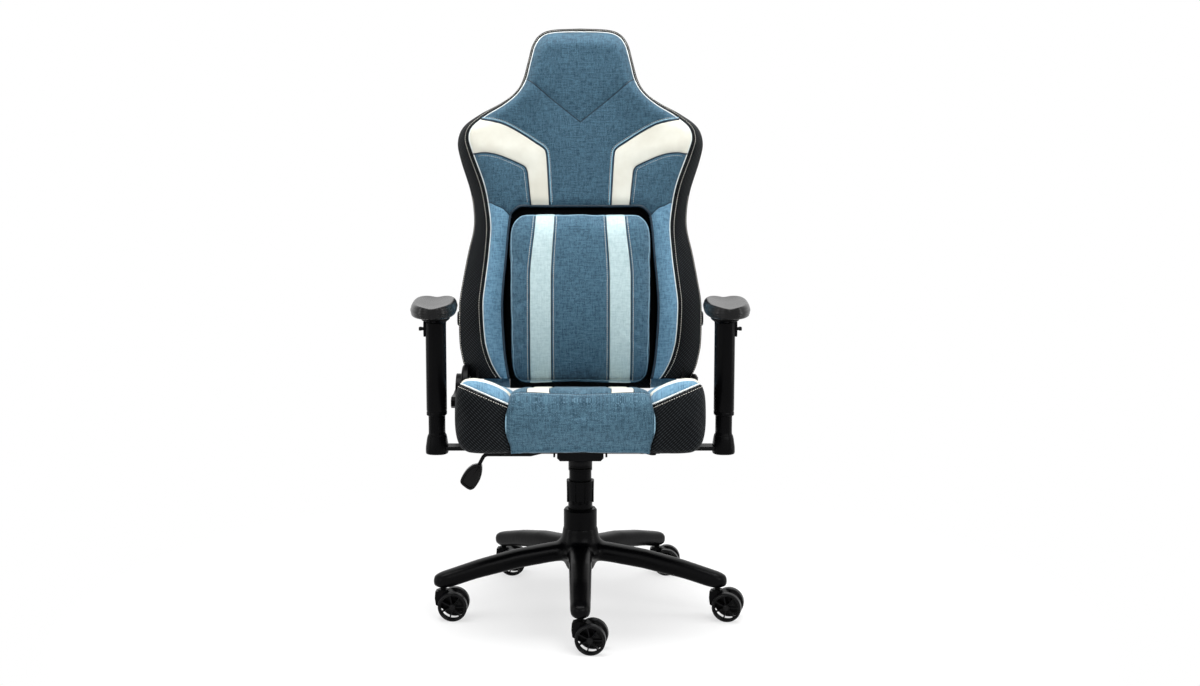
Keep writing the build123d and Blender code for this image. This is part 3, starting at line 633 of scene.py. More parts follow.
def cord_cover(name, shade, dark):
    """Glossy coated piping with faint creases, their hollows painted darker as painted shade."""
    f = Finish(name, roughness=0.45, specular_ior_level=0.35)
    creases = f.noise(260, detail=2.0)
    # Darker where the crease relief is low: painted shade in the hollows.
    f.feed("Base Color", f.mix(creases.clip(0.35, 0.65), dark, shade))
    f.bump(creases, 0.25, 0.2)
    return f.material


def thread(name, shade):
    """Sewing thread with a visible twist, its grooves painted darker as painted shade."""
    f = Finish(name, roughness=0.8, specular_ior_level=0.2)
    turn = 2 * math.pi / (0.9 * MM)
    twist = f.ramp_along((turn, turn, turn * 0.6)).sine()
    dark = tuple(0.75 * c for c in shade[:3]) + (1.0,)
    # Darker in the twist's grooves: painted shade between the plies.
    f.feed("Base Color", f.mix(twist.clip(-0.6, 0.6), dark, shade))
    f.bump(twist, 0.4, 0.1)
    return f.material


def moulded(name, shade, worn, rough, grain, specular, coat=0.0, scale=900.0):
    """Moulded plastic: fine spark grain, soft sheen changes and slightly greyed wear."""
    f = Finish(name, roughness=rough, specular_ior_level=specular, coat_weight=coat, coat_roughness=0.12)
    fine = f.noise(scale, detail=2.0)
    cloud = f.noise(7, detail=5.0)
    scuff = f.noise(60, (1, 1, 3), detail=6.0, rough=0.7).clip(0.62, 0.8)
    f.feed("Base Color", f.mix(cloud.clip(0.3, 0.8) * 0.4 + scuff * 0.35, shade, worn))
    f.feed("Roughness", rough + fine * 0.08 + cloud * 0.1 + scuff * 0.08 - 0.08)
    f.bump(fine + scuff * 0.4, grain, 0.12)
    return f.material


def metal(name, shade, dark):
    """Bright steel with drawing lines along the piece."""
    rough = 0.3
    f = Finish(name, roughness=rough, metallic=1.0)
    lines = f.noise(400, (1, 1, 12))
    cloud = f.noise(12, detail=4.0)
    f.feed("Base Color", f.mix(lines.clip(0.3, 0.7), dark, shade))
    f.feed("Roughness", rough + lines * 0.12 + cloud * 0.08 - 0.1)
    f.bump(lines, 0.12, 0.05)
    return f.material


def powder_coat(name):
    """Black powder-coated steel with orange peel."""
    f = Finish(name, roughness=0.38, specular_ior_level=0.08)
    peel = f.noise(330, detail=1.0)
    cloud = f.noise(10, detail=5.0)
    f.feed("Base Color", f.mix(cloud.clip(0.35, 0.8), paint(5, 5, 6), paint(18, 18, 20)))
    f.feed("Roughness", 0.3 + cloud * 0.18)
    f.bump(peel, 0.3, 0.15)
    return f.material


def lined_board(name):
    """Seat board under its black spun lining."""
    f = Finish(name, roughness=0.95, specular_ior_level=0.1)
    fibres = f.noise(500, (1, 0.3, 1), detail=4.0)
    cells = f.node("ShaderNodeTexVoronoi", {"feature": "DISTANCE_TO_EDGE"},
                   {"Vector": f.place(), "Scale": 420.0})
    f.feed("Base Color", f.mix(fibres.clip(0.3, 0.7), paint(18, 18, 19), paint(40, 40, 42)))
    f.bump(fibres + cells.clip(0.0, 0.2), 0.5, 0.2)
    return f.material


CANVAS = woven("denim_blue_canvas", paint(70, 104, 124), paint(36, 64, 82), paint(124, 158, 177))
# A darker copy of the same canvas for the backrest front: painted shade over the chest.
SHADED_CANVAS_BACK = woven("denim_blue_canvas_back_painted_shade", paint(60, 92, 110), paint(30, 55, 72), paint(112, 145, 164))
# A lighter copy of the same canvas for side panels, seat wings and the flap's sides: painted light where the lamps
# fall.
LIT_CANVAS_SIDE = woven("denim_blue_canvas_side_painted_light", paint(103, 144, 169), paint(66, 102, 126),
                    paint(144, 180, 201))
# A darker copy of the same canvas for the seat cushion: painted shade on its front, with a stronger weave contrast
# of its own.
SHADED_CANVAS_SEAT = woven("denim_blue_canvas_seat_painted_shade", paint(67, 99, 116), paint(32, 58, 74), paint(130, 166, 187))
STRIPE = woven("pale_aqua_weave", paint(190, 210, 212), paint(164, 188, 192), paint(210, 226, 227))
CREAM = cream_hide("cream_coated_cloth")
BLACK = black_hide("black_twill_coated_cloth")
POCKET = black_hide("pocket_lining", 0.15)
NAVY = cord_cover("navy_seam_tape", paint(18, 44, 60), paint(10, 30, 44))
SKY = cord_cover("sky_blue_piping", paint(150, 188, 206), paint(118, 158, 180))
WHITE = cord_cover("white_piping", paint(224, 230, 230), paint(198, 204, 204))
THREAD = thread("ivory_thread", paint(226, 222, 212))
THREAD_BLUE = thread("pale_blue_thread", paint(160, 192, 210))
NYLON = moulded("black_glass_nylon", paint(2, 2, 3), paint(12, 12, 13), 0.3, 0.1, 0.06)
PLASTIC = moulded("black_textured_plastic", paint(3, 3, 4), paint(13, 13, 14), 0.3, 0.12, 0.05)
GLOSS = moulded("black_gloss_plastic", paint(7, 7, 8), paint(18, 18, 19), 0.2, 0.08, 0.12, coat=0.03)
SKINNED = moulded("self_skinned_foam", paint(5, 5, 6), paint(15, 15, 16), 0.27, 0.05, 0.2, scale=420.0)
TYRE = moulded("caster_tread", paint(5, 5, 6), paint(24, 24, 26), 0.28, 0.1, 0.08)
STEEL = metal("bright_steel", paint(190, 190, 194), paint(140, 140, 145))
COATED = powder_coat("powder_coated_steel")
LINED = lined_board("lined_seat_board")

SLOT_FINISH = {
    "nylon_black": NYLON, "plastic_black": PLASTIC, "plastic_gloss": GLOSS, "steel_black": COATED,
    "steel_bright": STEEL, "fabric_blue": CANVAS, "cover_black": BLACK, "pad_black": SKINNED,
    "board": LINED, "wheel": TYRE,
}


def dress_frame():
    """Gives every CAD node the finish of its material slot."""
    slots = {p["node"]: p["material_slot"] for p in frame["record"]["subparts"]}
    for node, obj in frame["nodes"].items():
        obj.data.materials.clear()
        obj.data.materials.append(SLOT_FINISH[slots[node]])


# ---------------------------------------------------------------- stuffed covers


def scratch(verts, faces):
    """A plain object in the scene for a modifier to work on."""
    return placed("scratch", plain_mesh("scratch", verts, faces=faces))


def result_of(obj):
    """Vertices in millimetres and faces of the object with its modifiers; the object goes."""
    mesh = evaluated(obj)
    verts = np.array([v.co for v in mesh.vertices], float) / MM
    return verts, [list(p.vertices) for p in mesh.polygons]


def gridded(obj, voxel, passes):
    """The closed object as an even grid of small quads, smoothed by a number of passes."""
    grid = obj.modifiers.new("grid", "REMESH")
    grid.mode, grid.voxel_size = "VOXEL", voxel * MM
    soft = obj.modifiers.new("soft", "SMOOTH")
    soft.factor, soft.iterations = 0.5, passes
    return result_of(obj)


def stuffed(rings, voxel, reach):
    """A filled cover from its rings: cloth blown up from inside, and held within reach of its start."""
    start = scratch(*skin(rings))
    welded(start.data, FINE_WELD)
    verts, faces = gridded(start, voxel, passes=4)
    obj = scratch(verts, faces)
    cloth = obj.modifiers.new("cover", "CLOTH")
    cloth.settings.use_pressure = True
    cloth.settings.uniform_pressure_force = COVER_PRESSURE
    cloth.settings.effector_weights.gravity = 0
    for number in range(1, COVER_FRAMES + 1):
        bpy.context.scene.frame_set(number)
        bpy.context.view_layer.update()
    blown, _ = result_of(obj)
    bpy.context.scene.frame_set(1)
    move = blown - verts
    length = np.linalg.norm(move, axis=1)[:, None] + TINY
    verts = verts + move * (reach * np.tanh(length / reach) / length)
    obj = scratch(verts, faces)
    obj.modifiers.new("round", "SUBSURF").levels = 1
    return result_of(obj)


class Cover:
    """A stuffed cover that seams are cut into. Each seam is a plane through a point."""

    def __init__(self, part):
        verts, faces = part
        self.bm = bmesh.new()
        made = [self.bm.verts.new(v) for v in verts]
        for face in faces:
            self.bm.faces.new([made[i] for i in face])
        self.seams = []

    def seam(self, point, normal, where=None, width=3.0, depth=2.2):
        """Cuts the cover along the plane and beside it. where(points) says how deep the seam is."""
        point, normal = Vector(point), Vector(normal).normalized()
        for offset in (-width, 0, width):
            geometry = self.bm.verts[:] + self.bm.edges[:] + self.bm.faces[:]
            bmesh.ops.bisect_plane(self.bm, geom=geometry, dist=0.05, plane_co=point + normal * offset,
                                   plane_no=normal)
        self.seams.append((np.array(point), np.array(normal), where, width, depth))

    def part(self):
        """Vertices and faces with the seams drawn in."""
        self.bm.normal_update()
        verts = np.array([v.co for v in self.bm.verts], float)
        normals = np.array([v.normal for v in self.bm.verts], float)
        sink = np.zeros(len(verts))
        for point, normal, where, width, depth in self.seams:
            off = np.abs((verts - point) @ normal)
            here = depth * np.exp(-(off / (0.75 * width)) ** 2)
            if where is not None:
                here = here * where(verts)
            sink = np.maximum(sink, here)
        self.bm.verts.index_update()
        faces = [[v.index for v in f.verts] for f in self.bm.faces]
        return verts - normals * sink[:, None], faces


def centres(verts, faces):
    return np.array([verts[f].mean(axis=0) for f in faces])


def surface(part):
    """A tree that rays can be cast at."""
    verts, faces = part
    return BVHTree.FromPolygons([tuple(v) for v in verts], faces)


def outermost(tree, starts, ways, lift=0.0):
    """Where rays from outside meet the surface, moved out by lift; misses are left out."""
    hits = []
    for start, way in zip(starts, ways):
        place, normal, _, _ = tree.ray_cast(Vector(start), Vector(way))
        if place is not None:
            hits.append(np.array(place) + lift * np.array(normal))
    return np.array(hits)


def dropped(tree, across, y):
    """Where plumb lines at y meet the top of a cover."""
    starts = at_depth(np.column_stack([across, np.full(len(across), HIGH_ABOVE)]), y)
    return outermost(tree, starts, [(0, 0, -1)] * len(across))


# ---------------------------------------------------------------- stitching, screws


def spreader(name, inputs, axis, parts, links):
    """Geometry nodes that set copies on a mesh, make them real and give them their finish.

    inputs are the group's own, besides its geometry and finish. parts are its further nodes, each a kind
    with its settings and socket values. links are (node, output, node, input).
    """
    tree = bpy.data.node_groups.new(name, "GeometryNodeTree")
    for label, kind in [("Geometry", "Geometry"), *inputs, ("Finish", "Material")]:
        tree.interface.new_socket(label, in_out="INPUT", socket_type="NodeSocket" + kind)
    tree.interface.new_socket("Geometry", in_out="OUTPUT", socket_type="NodeSocketGeometry")
    parts = {
        "start": ("NodeGroupInput", {}), "end": ("NodeGroupOutput", {}),
        "aim": ("FunctionNodeAlignRotationToVector", {"axis": axis}),
        "place": ("GeometryNodeInstanceOnPoints", {}), "real": ("GeometryNodeRealizeInstances", {}),
        "dress": ("GeometryNodeSetMaterial", {}), **parts,
    }
    nodes = {}
    for key, (kind, values) in parts.items():
        node = nodes[key] = tree.nodes.new(kind)
        for what, value in values.items():
            if what.islower():
                setattr(node, what, value)
            else:
                node.inputs[what].default_value = value
    shared = [("aim", 0, "place", "Rotation"), ("place", 0, "real", 0), ("real", 0, "dress", "Geometry"),
              ("start", "Finish", "dress", "Material"), ("dress", 0, "end", 0)]
    for source, out, target, into in links + shared:
        tree.links.new(nodes[source].outputs[out], nodes[target].inputs[into])
    return tree


def grown(obj, name, tree, values, body):
    """The object's geometry nodes made into a plain piece on its body."""
    modifier = obj.modifiers.new("grow", "NODES")
    modifier.node_group = tree
    for item in tree.interface.items_tree:
        if item.in_out == "INPUT" and item.name in values:
            modifier[item.identifier] = values[item.name]
    mesh = evaluated(obj)
    mesh.polygons.foreach_set("use_smooth", np.ones(len(mesh.polygons), bool))
    return riding(name, mesh, body)


def stitched(name, lines, body, finish, pitch=5.0, long=3.6, thick=1.1):
    """Top stitching along lines in chair millimetres."""
    edges, start = [], 0
    for line in lines:
        edges += [(start + i, start + i + 1) for i in range(len(line) - 1)]
        start += len(line)
    obj = placed("stitch_lines", plain_mesh("stitch_lines", np.vstack(lines), edges))
    values = {"Pitch": pitch * MM, "Stitch": (long * MM, thick * MM, thick * MM), "Finish": finish}
    grown(obj, name, STITCHES, values, body)


def socket_screw():
    """A cap screw's head, 1 across, with its hexagon socket."""
    sides, flats, top, floor = 18, math.pi / 3, 0.38, 0.08
    hexagon = 0.25 * np.cos(flats / 2) / np.cos((around(sides) % flats) - flats / 2)
    profile = [(0.5, -0.05), (0.5, 0.3), (0.44, top), (0.27, top), (hexagon, top), (hexagon, floor)]
    verts, faces = skin([circle(r, z, sides) for r, z in profile])
    return bpy.data.objects.new("socket_screw", plain_mesh("socket_screw", verts, faces=faces, unit=1))


def screws(name, places, size, body, finish):
    """Screw heads of one size at (place, facing) pairs in chair millimetres."""
    mesh = plain_mesh("screw_places", [place for place, _ in places])
    facing = mesh.attributes.new("facing", "FLOAT_VECTOR", "POINT")
    facing.data.foreach_set("vector", np.array([way for _, way in places], np.float32).ravel())
    values = {"Size": size * MM, "Finish": finish}
    crease(grown(placed("screw_places", mesh), name, SCREWS, values, body))


STITCHES = spreader(
    "top_stitching", [("Pitch", "Float"), ("Stitch", "Vector")], "X",
    {"line": ("GeometryNodeMeshToCurve", {}), "spaced": ("GeometryNodeResampleCurve", {"mode": "LENGTH"}),
     "bead": ("GeometryNodeMeshUVSphere", {"Segments": 6, "Rings": 5, "Radius": 0.5}),
     "tangent": ("GeometryNodeInputTangent", {})},
    [("start", "Geometry", "line", 0), ("line", 0, "spaced", "Curve"), ("start", "Pitch", "spaced", "Length"),
     ("spaced", 0, "place", "Points"), ("bead", 0, "place", "Instance"), ("tangent", 0, "aim", "Vector"),
     ("start", "Stitch", "place", "Scale")])
SCREWS = spreader(
    "socket_screws", [("Size", "Float")], "Z",
    {"source": ("GeometryNodeObjectInfo", {"Object": socket_screw()}),
     "facing": ("GeometryNodeInputNamedAttribute", {"data_type": "FLOAT_VECTOR", "Name": "facing"})},
    [("start", "Geometry", "place", "Points"), ("source", "Geometry", "place", "Instance"),
     ("facing", "Attribute", "aim", "Vector"), ("start", "Size", "place", "Scale")])


# ---------------------------------------------------------------- backrest


def back_lines():
    """The silhouette, the inner edge of the black border and the unit normals, from foot to foot."""
    line = mirror_line(even(curve(BACK_EDGE, 10), 5))
    outer = line[:, :2]
    rise = ease(BACK_FOOT, BACK_FOOT + 70, outer[:, 1])[:, None]
    level = np.column_stack([-np.sign(outer[:, 0]), np.zeros(len(outer))])
    normals = level * (1 - rise) + inward(outer) * rise
    inner = outer + normals * line[:, 2:3]
    inner[0, 1] = inner[-1, 1] = BACK_FOOT
    return outer, inner, normals


BACK_OUTER, BACK_INNER, BACK_NORMALS = back_lines()
INNER_HALF = BACK_INNER[: len(BACK_INNER) // 2 + 1]
BORDER_WIDTH = np.linalg.norm(BACK_OUTER - BACK_INNER, axis=1)
# The lumbar pocket's rim, from foot to foot over the top
RIM = mirror_line(even(curve(POCKET_RIM[::-1], 8), 4))


def both_sides(points):
    """A seam of the sitter's left half, and its mirror image."""
    line = even(curve(points, 8), 4)
    return [line, line * np.array([-1, 1])]


BACK_SEAMS = {
    "v": [mirror_line(even(np.array(V_SEAM, float), 4))],
    "shoulder_top": both_sides(SHOULDER_TOP),
    "shoulder_low": both_sides(SHOULDER_LOW),
    "side": both_sides(SIDE_SEAM),
}
FRONT_SEAMS = [line for lines in BACK_SEAMS.values() for line in lines]


def snapped(line):
    """The line with an end that comes near the border moved on to it."""
    line = line.copy()
    for end in (0, -1):
        gaps = np.linalg.norm(BACK_INNER - line[end], axis=1)
        if gaps.min() < SNAP:
            line[end] = BACK_INNER[gaps.argmin()]
    return line


def smoothed(line):
    """A snapped seam without the small kinks that snapping leaves."""
    return even(curve(snapped(line)[::3], 4), 3)


def with_foot(edge, count=60):
    """The edge from foot to foot, closed by a straight row of points along the bottom."""
    return np.vstack([edge, np.linspace(edge[-1], edge[0], count)[1:-1]])


def front_depth(points):
    """How far the backrest's front stands forward at points of the (across, up) plane."""
    x, h = np.abs(points[:, 0]), points[:, 1]
    order = np.argsort(INNER_HALF[:, 1])
    half = np.interp(h, INNER_HALF[order, 1], INNER_HALF[order, 0])
    border = distance(points, BACK_INNER)
    share = x / np.maximum(half, 20)
    forward = FRONT_DEPTH + HEAD_SWELL * ease(*NECK, h) * (1 - ease(*CROWN, h))
    forward += np.interp(h, WING_HEIGHTS, WING_FORWARD) * ease(*WING_SHARE, share)
    roll = EDGE_ROLL + NECK_ROLL * ease(NECK[0], HEAD[0], h) + HEAD_ROLL * ease(*HEAD, h)
    forward -= ROLL_SLOPE * roll * np.clip(1 - border / roll, 0, 1) ** 2
    seam = nearest(points, FRONT_SEAMS)
    groove = np.where(h > 600, 1.8, 2.8)
    forward += SEAM_PUFF * (1 - bell(seam, PUFF_WIDTH)) - groove * bell(seam, GROOVE_WIDTH)
    rim = distance(points, RIM)
    forward -= RIM_DROP * bell(rim, RIM_WIDTH)
    wall = np.where(inside(points, RIM), ease(0, POCKET_WALL, rim), 0)
    return forward * (1 - wall) - POCKET_FLOOR * wall


def triangulated(points, edges, loop):
    """Flat triangles between the points, inside the loop and along the edges."""
    made = delaunay_2d_cdt([Vector(p) for p in points], edges, [loop], 1, 1e-4)
    return np.array([tuple(v) for v in made[0]]), [list(f) for f in made[2]]


def meshed(outline, seams, coarse, fine, near):
    """Flat triangles inside the outline, with edges along every seam and finer near them all."""
    fixed = [outline] + seams
    low, high = outline.min(axis=0), outline.max(axis=0)
    clouds = []
    for step, is_fine in ((coarse, False), (fine, True)):
        xs = np.arange(low[0], high[0], step)
        ys = np.arange(low[1], high[1], step * 0.866)
        grid = np.array([(x + (row % 2) * step / 2, y) for row, y in enumerate(ys) for x in xs])
        grid = grid[inside(grid, outline)]
        gap = np.minimum(distance(grid, outline, True), nearest(grid, seams))
        close = gap < near
        clouds.append(grid[(gap > 0.6 * step) & (close if is_fine else ~close)])
    edges, start = [], 0
    for index, line in enumerate(fixed):
        count = len(line)
        edges += [(start + i, start + (i + 1) % count) for i in range(count if index == 0 else count - 1)]
        start += count
    return triangulated(np.vstack(fixed + clouds), edges, list(range(len(outline))))


def turned_towards(verts, faces, way):
    """The faces, each with its front towards the given direction."""
    out = []
    for f in faces:
        a, b, c = verts[f[0]], verts[f[1]], verts[f[2]]
        out.append(f if np.cross(b - a, c - a) @ way > 0 else f[::-1])
    return out


def close_behind(shell, loop, depth, kind):
    """Closes a cover of the backrest behind its edge loop with a wall and a flat lid."""
    flat = loop[:, [0, 2]]
    shell.add(skin([loop, at_depth(flat, depth)], caps=False), kind, place=lean)
    lid, faces = meshed(flat, [], coarse=40.0, fine=40.0, near=0.0)
    shell.add((at_depth(lid, depth), faces), kind, place=lean)


def backrest_front():
    """The sewn front: blue canvas in a darker copy as painted shade, cream shoulder panels, side panels in a
    lighter copy of the canvas as painted light, the pocket's lining.
    """
    outline = with_foot(BACK_INNER, 70)
    wall_foot = offset_line(RIM, POCKET_WALL)
    wall_foot[0, 1] = wall_foot[-1, 1] = BACK_FOOT
    seams = [snapped(line) for line in FRONT_SEAMS] + [RIM, wall_foot]
    flat, faces = meshed(outline, seams, coarse=7.0, fine=2.4, near=6.0)
    middle = centres(flat, faces)
    right = np.column_stack([np.abs(middle[:, 0]), middle[:, 1]])
    top, low, side = (curve(p, 8) for p in (SHOULDER_TOP, SHOULDER_LOW, SIDE_SEAM))
    cream = inside(right, np.vstack([top, low[::-1], [(OUTSIDE, 527), (OUTSIDE, 606)]]))
    rim_half = RIM[: len(RIM) // 2 + 1]
    rim_side = rim_half[rim_half[:, 1] < 392]
    # The side panels take the lighter copy of the canvas: painted light.
    light = inside(right, np.vstack([rim_side, side[::-1], [(OUTSIDE, 425), (OUTSIDE, 0), (157, 0)]]))
    kinds = np.select([inside(middle, RIM), cream, light], [3, 1, 2], 0)
    verts = at_depth(flat, -front_depth(flat))
    shell = Shell().add((verts, turned_towards(verts, faces, np.array([0, -1, 0]))), kinds, flat, lean)
    close_behind(shell, at_depth(outline, -front_depth(outline)), LINER_DEPTH, 3)
    finishes = [SHADED_CANVAS_BACK, CREAM, LIT_CANVAS_SIDE, POCKET]
    cover = shell.piece("backrest_front_cover", finishes, "back", "fabric_blue")
    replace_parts(cover, "back_cushion")


def border_ring(share):
    """A line along the black border, share of the way from its inner to its outer edge."""
    share = np.broadcast_to(share, BORDER_WIDTH.shape)
    depth_in = -front_depth(BACK_INNER)
    flat = BACK_INNER + (BACK_OUTER - BACK_INNER) * share[:, None]
    depth = depth_in + (EDGE_DEPTH - depth_in) * share**1.25
    bulge = np.minimum(6, 0.14 * BORDER_WIDTH) * np.sin(math.pi * share)
    flat = flat - BACK_NORMALS * (bulge * 0.5)[:, None]
    flat[:, 1] = np.maximum(flat[:, 1], BACK_FOOT)
    return at_depth(flat, depth - bulge * 0.6)


def gusset_ring(share):
    """A line along the side between the outer seam and the rear seam."""
    inset = 1.5 - 5.0 * share + 11.0 * share**2
    flat = BACK_OUTER + BACK_NORMALS * inset
    flat[:, 1] = np.maximum(flat[:, 1], BACK_FOOT)
    return at_depth(flat, EDGE_DEPTH + (REAR_SEAM_DEPTH - EDGE_DEPTH) * share)


def border_cloth(verts):
    """Cloth map that lies flat on the border and turns round the outer seam on to the side."""
    return np.column_stack([np.abs(verts[:, 0]) + np.maximum(verts[:, 1] - EDGE_DEPTH, 0), verts[:, 2]])


def rear_depth(border):
    """How far the rear panel stands back, at a distance from its border."""
    return REAR_SEAM_DEPTH + (REAR_DEPTH - REAR_SEAM_DEPTH) * (1 - np.exp(-border / 45))


def backrest_rear():
    """Black border, side gusset and rear panel as one closed cover, and the panel's top stitching."""
    shell = Shell()
    rings = [border_ring(s) for s in (0, 0.06, 0.13, 0.25, 0.38, 0.5, 0.62, 0.75, 0.87, 0.94, 0.985)]
    rings.append(gusset_ring(0.0) + at_depth(BACK_NORMALS, 0) * 1.2)
    rings += [gusset_ring(s) for s in (0.05, 0.2, 0.4, 0.6, 0.8, 0.93, 1.0)]
    verts, faces = skin(rings, wrap=False, caps=False)
    shell.add((verts, faces), 0, border_cloth(verts), lean)
    rear_loop = with_foot(rings[-1])
    outline = rear_loop[:, [0, 2]]
    spine = even(curve(REAR_SEAM, 8), 5)
    seams = [line[inside(line, outline)] for line in (spine, spine * np.array([-1, 1]))]
    flat, rear_faces = meshed(outline, seams, coarse=9.0, fine=3.0, near=6.0)
    gap, border = nearest(flat, seams), distance(flat, outline, True)
    depth = rear_depth(border)
    depth += 2.0 * (1 - bell(gap, 16)) * ease(0, 30, border) - 1.6 * bell(gap, GROOVE_WIDTH)
    depth[border < 0.01] = REAR_SEAM_DEPTH
    shell.add((at_depth(flat, depth), rear_faces), 0, place=lean)
    close_behind(shell, with_foot(rings[0]), LINER_DEPTH + 1, 1)
    shell.add(foot_panel(rings, rear_loop[len(rings[-1]):]), 0, place=lean)
    cover = shell.piece("backrest_rear_cover", [BLACK, POCKET], "back", "cover_black")
    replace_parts(cover, "back_rear_panel")
    lines = [lean(on_rear(offset_line(s, side), outline)) for s in seams for side in (-6, 6)]
    stitched("rear_panel_stitching", lines, "back", THREAD)


def foot_panel(rings, rear_foot):
    """The underside between the front liner and the rear seam."""
    loop = np.vstack([[r[0] for r in rings], rear_foot[::-1], [r[-1] for r in rings[::-1]]])
    flat, faces = triangulated(loop[:, :2], [], list(range(len(loop))))
    return np.column_stack([flat, np.full(len(flat), BACK_FOOT)]), faces


def offset_line(line, amount):
    return line + inward(line) * amount


def on_rear(line, outline):
    """Points just behind the rear panel, over a line of its plane."""
    line = line[inside(line, outline)]
    return at_depth(line, rear_depth(distance(line, outline, True)) + 1.0)


def on_front(line, lift):
    """Points in front of the sewn front by lift, over a line of its plane."""
    return at_depth(line, -front_depth(line) - lift)


def backrest_trim():
    """Piping, seam tapes and top stitching of the backrest."""
    edge = at_depth(BACK_INNER, -front_depth(BACK_INNER))
    cords("backrest_edge_piping", [(edge, 1.3)], WHITE, "back", lean)
    tops, lows = ([smoothed(line) for line in BACK_SEAMS[name]] for name in ("shoulder_top", "shoulder_low"))
    tapes = [(on_front(line, -0.2), 2.3) for line in tops + lows]
    tapes += [(on_front(snapped(line), 0.1), 1.2) for line in BACK_SEAMS["side"] + BACK_SEAMS["v"]]
    rim = even(curve(RIM[::2], 4), 4)
    tapes.append((on_front(offset_line(rim, -0.5), -0.5), 3.0))
    cords("backrest_seam_tapes", tapes, NAVY, "back", lean)
    piping = [(on_front(offset_line(top, -4.0 * side), 0.0), 1.0) for top, side in zip(tops, (1, -1))]
    cords("shoulder_piping", piping, SKY, "back", lean)
    near, far = border_ring(np.minimum(0.5, 8 / BORDER_WIDTH)), border_ring(1 - 3.5 / BORDER_WIDTH)
    for ring in (near, far):
        ring[:, 1] -= 0.8
    lines = [lean(near[near[:, 2] > BACK_FOOT + 4])]
    low = (far[:, 2] > BACK_FOOT + 4) & (far[:, 2] < 440)
    lines += [lean(far[low & (far[:, 0] * side > 0)]) for side in (1, -1)]
    stitched("backrest_border_stitching", lines, "back", THREAD)
    fine = [lean(on_front(offset_line(line, gap * side)[4:-2], 0.3))
            for top, low, side in zip(tops, lows, (1, -1)) for line, gap in ((top, -6.5), (low, 6.5))]
    stitched("shoulder_stitching", fine, "back", THREAD, pitch=4.5, long=3.0, thick=0.8)


# ---------------------------------------------------------------- lumbar pad


def pad_loop(inset):
    """The pad's outline, moved inwards."""
    return shrunk(mirror_line(even(curve(PAD_EDGE[::-1], 8), 6))[:-1], inset)


def lumbar_pad():
    """A crowned pad with two pale stripes, piped round its front edge."""
    verts, faces = stuffed([at_depth(pad_loop(inset - PAD_ROOM), d) for inset, d in PAD_RINGS],
                           voxel=5.0, reach=8.0)
    verts[:, 0] *= 1 / pad_squeeze(verts[:, 2])
    cover = Cover((verts, faces))
    for x in PAD_STRIPE:
        for side in (1, -1):
            cover.seam((x * side, 0, 0), (1, 0, 0), lambda p: 1 - ease(-44, -32, p[:, 1]))
    cover.seam((0, PAD_SEAM_DEPTH, 0), (0, 1, 0), None, width=2.5, depth=1.6)
    verts, faces = cover.part()
    verts[:, 0] *= pad_squeeze(verts[:, 2])
    middle = centres(verts, faces)
    across = np.abs(middle[:, 0] / pad_squeeze(middle[:, 2]))
    stripe = (across > PAD_STRIPE[0]) & (across < PAD_STRIPE[1]) & (middle[:, 1] < -30)
    kinds = np.select([middle[:, 1] > -12, stripe], [2, 1], 0)
    shell = Shell().add((verts, faces), kinds, verts[:, [0, 2]], crowned)
    pad = shell.piece("lumbar_pad_cover", [CANVAS, STRIPE, POCKET], "lumbar", "fabric_blue")
    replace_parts(pad, "lumbar_pad")
    pad_trim(surface((verts, faces)))


def crowned(points):
    """Chair coordinates of the pad's points, with the front falling back above and below its middle."""
    h, d = points[:, 2], points[:, 1]
    low, high = np.clip((PAD_MIDDLE - h) / 205, 0, 1.1), np.clip((h - PAD_MIDDLE) / 170, 0, 1.1)
    fall = (PAD_FALL_LOW * low**2 + PAD_FALL_HIGH * high**2) * (1 - ease(-66, -20, d))
    return lean(np.column_stack([points[:, 0], d + fall, h]))


def pad_squeeze(h):
    """The stripes close in a little towards the pad's top."""
    return 1 - 0.11 * ease(250, 400, h)


def pad_line(tree, x, lift):
    """A line down the pad's front at a width, standing lift out of the cover."""
    h = np.arange(30, 394, 4)
    starts = np.column_stack([x * pad_squeeze(h), np.full(len(h), -200.0), h])
    hits = outermost(tree, starts, [(0, 1, 0)] * len(h))
    hits = hits[hits[:, 1] < -40]
    hits[:, 1] -= lift
    return hits


def pad_trim(tree):
    """Piping round the pad's front, and tapes and stitching along its stripes."""
    loop = even(pad_loop(-30), 5, True)
    ring = outermost(tree, at_depth(loop, PAD_SEAM_DEPTH - 1.0), at_depth(inward(loop, True), 0.0))
    cords("lumbar_pad_piping", [(ring, 1.5)], SKY, "lumbar", crowned, closed=True)
    places = [(side * x, side * (x + away * 4.5)) for side in (1, -1) for x, away in zip(PAD_STRIPE, (-1, 1))]
    tapes = [(pad_line(tree, seam, -0.3), 1.7) for seam, _ in places]
    cords("lumbar_seam_tapes", tapes, NAVY, "lumbar", crowned)
    lines = [crowned(pad_line(tree, beside, 0.3)) for _, beside in places]
    stitched("lumbar_stitching", lines, "lumbar", THREAD, pitch=4.5, long=3.2, thick=1.2)


# ---------------------------------------------------------------- seat


def cushion_loop(inset):
    """The middle panel's outline seen from the side, moved inwards."""
    return shrunk(even(curve(CUSHION_SIDE, 6, closed=True), 8, True), inset)


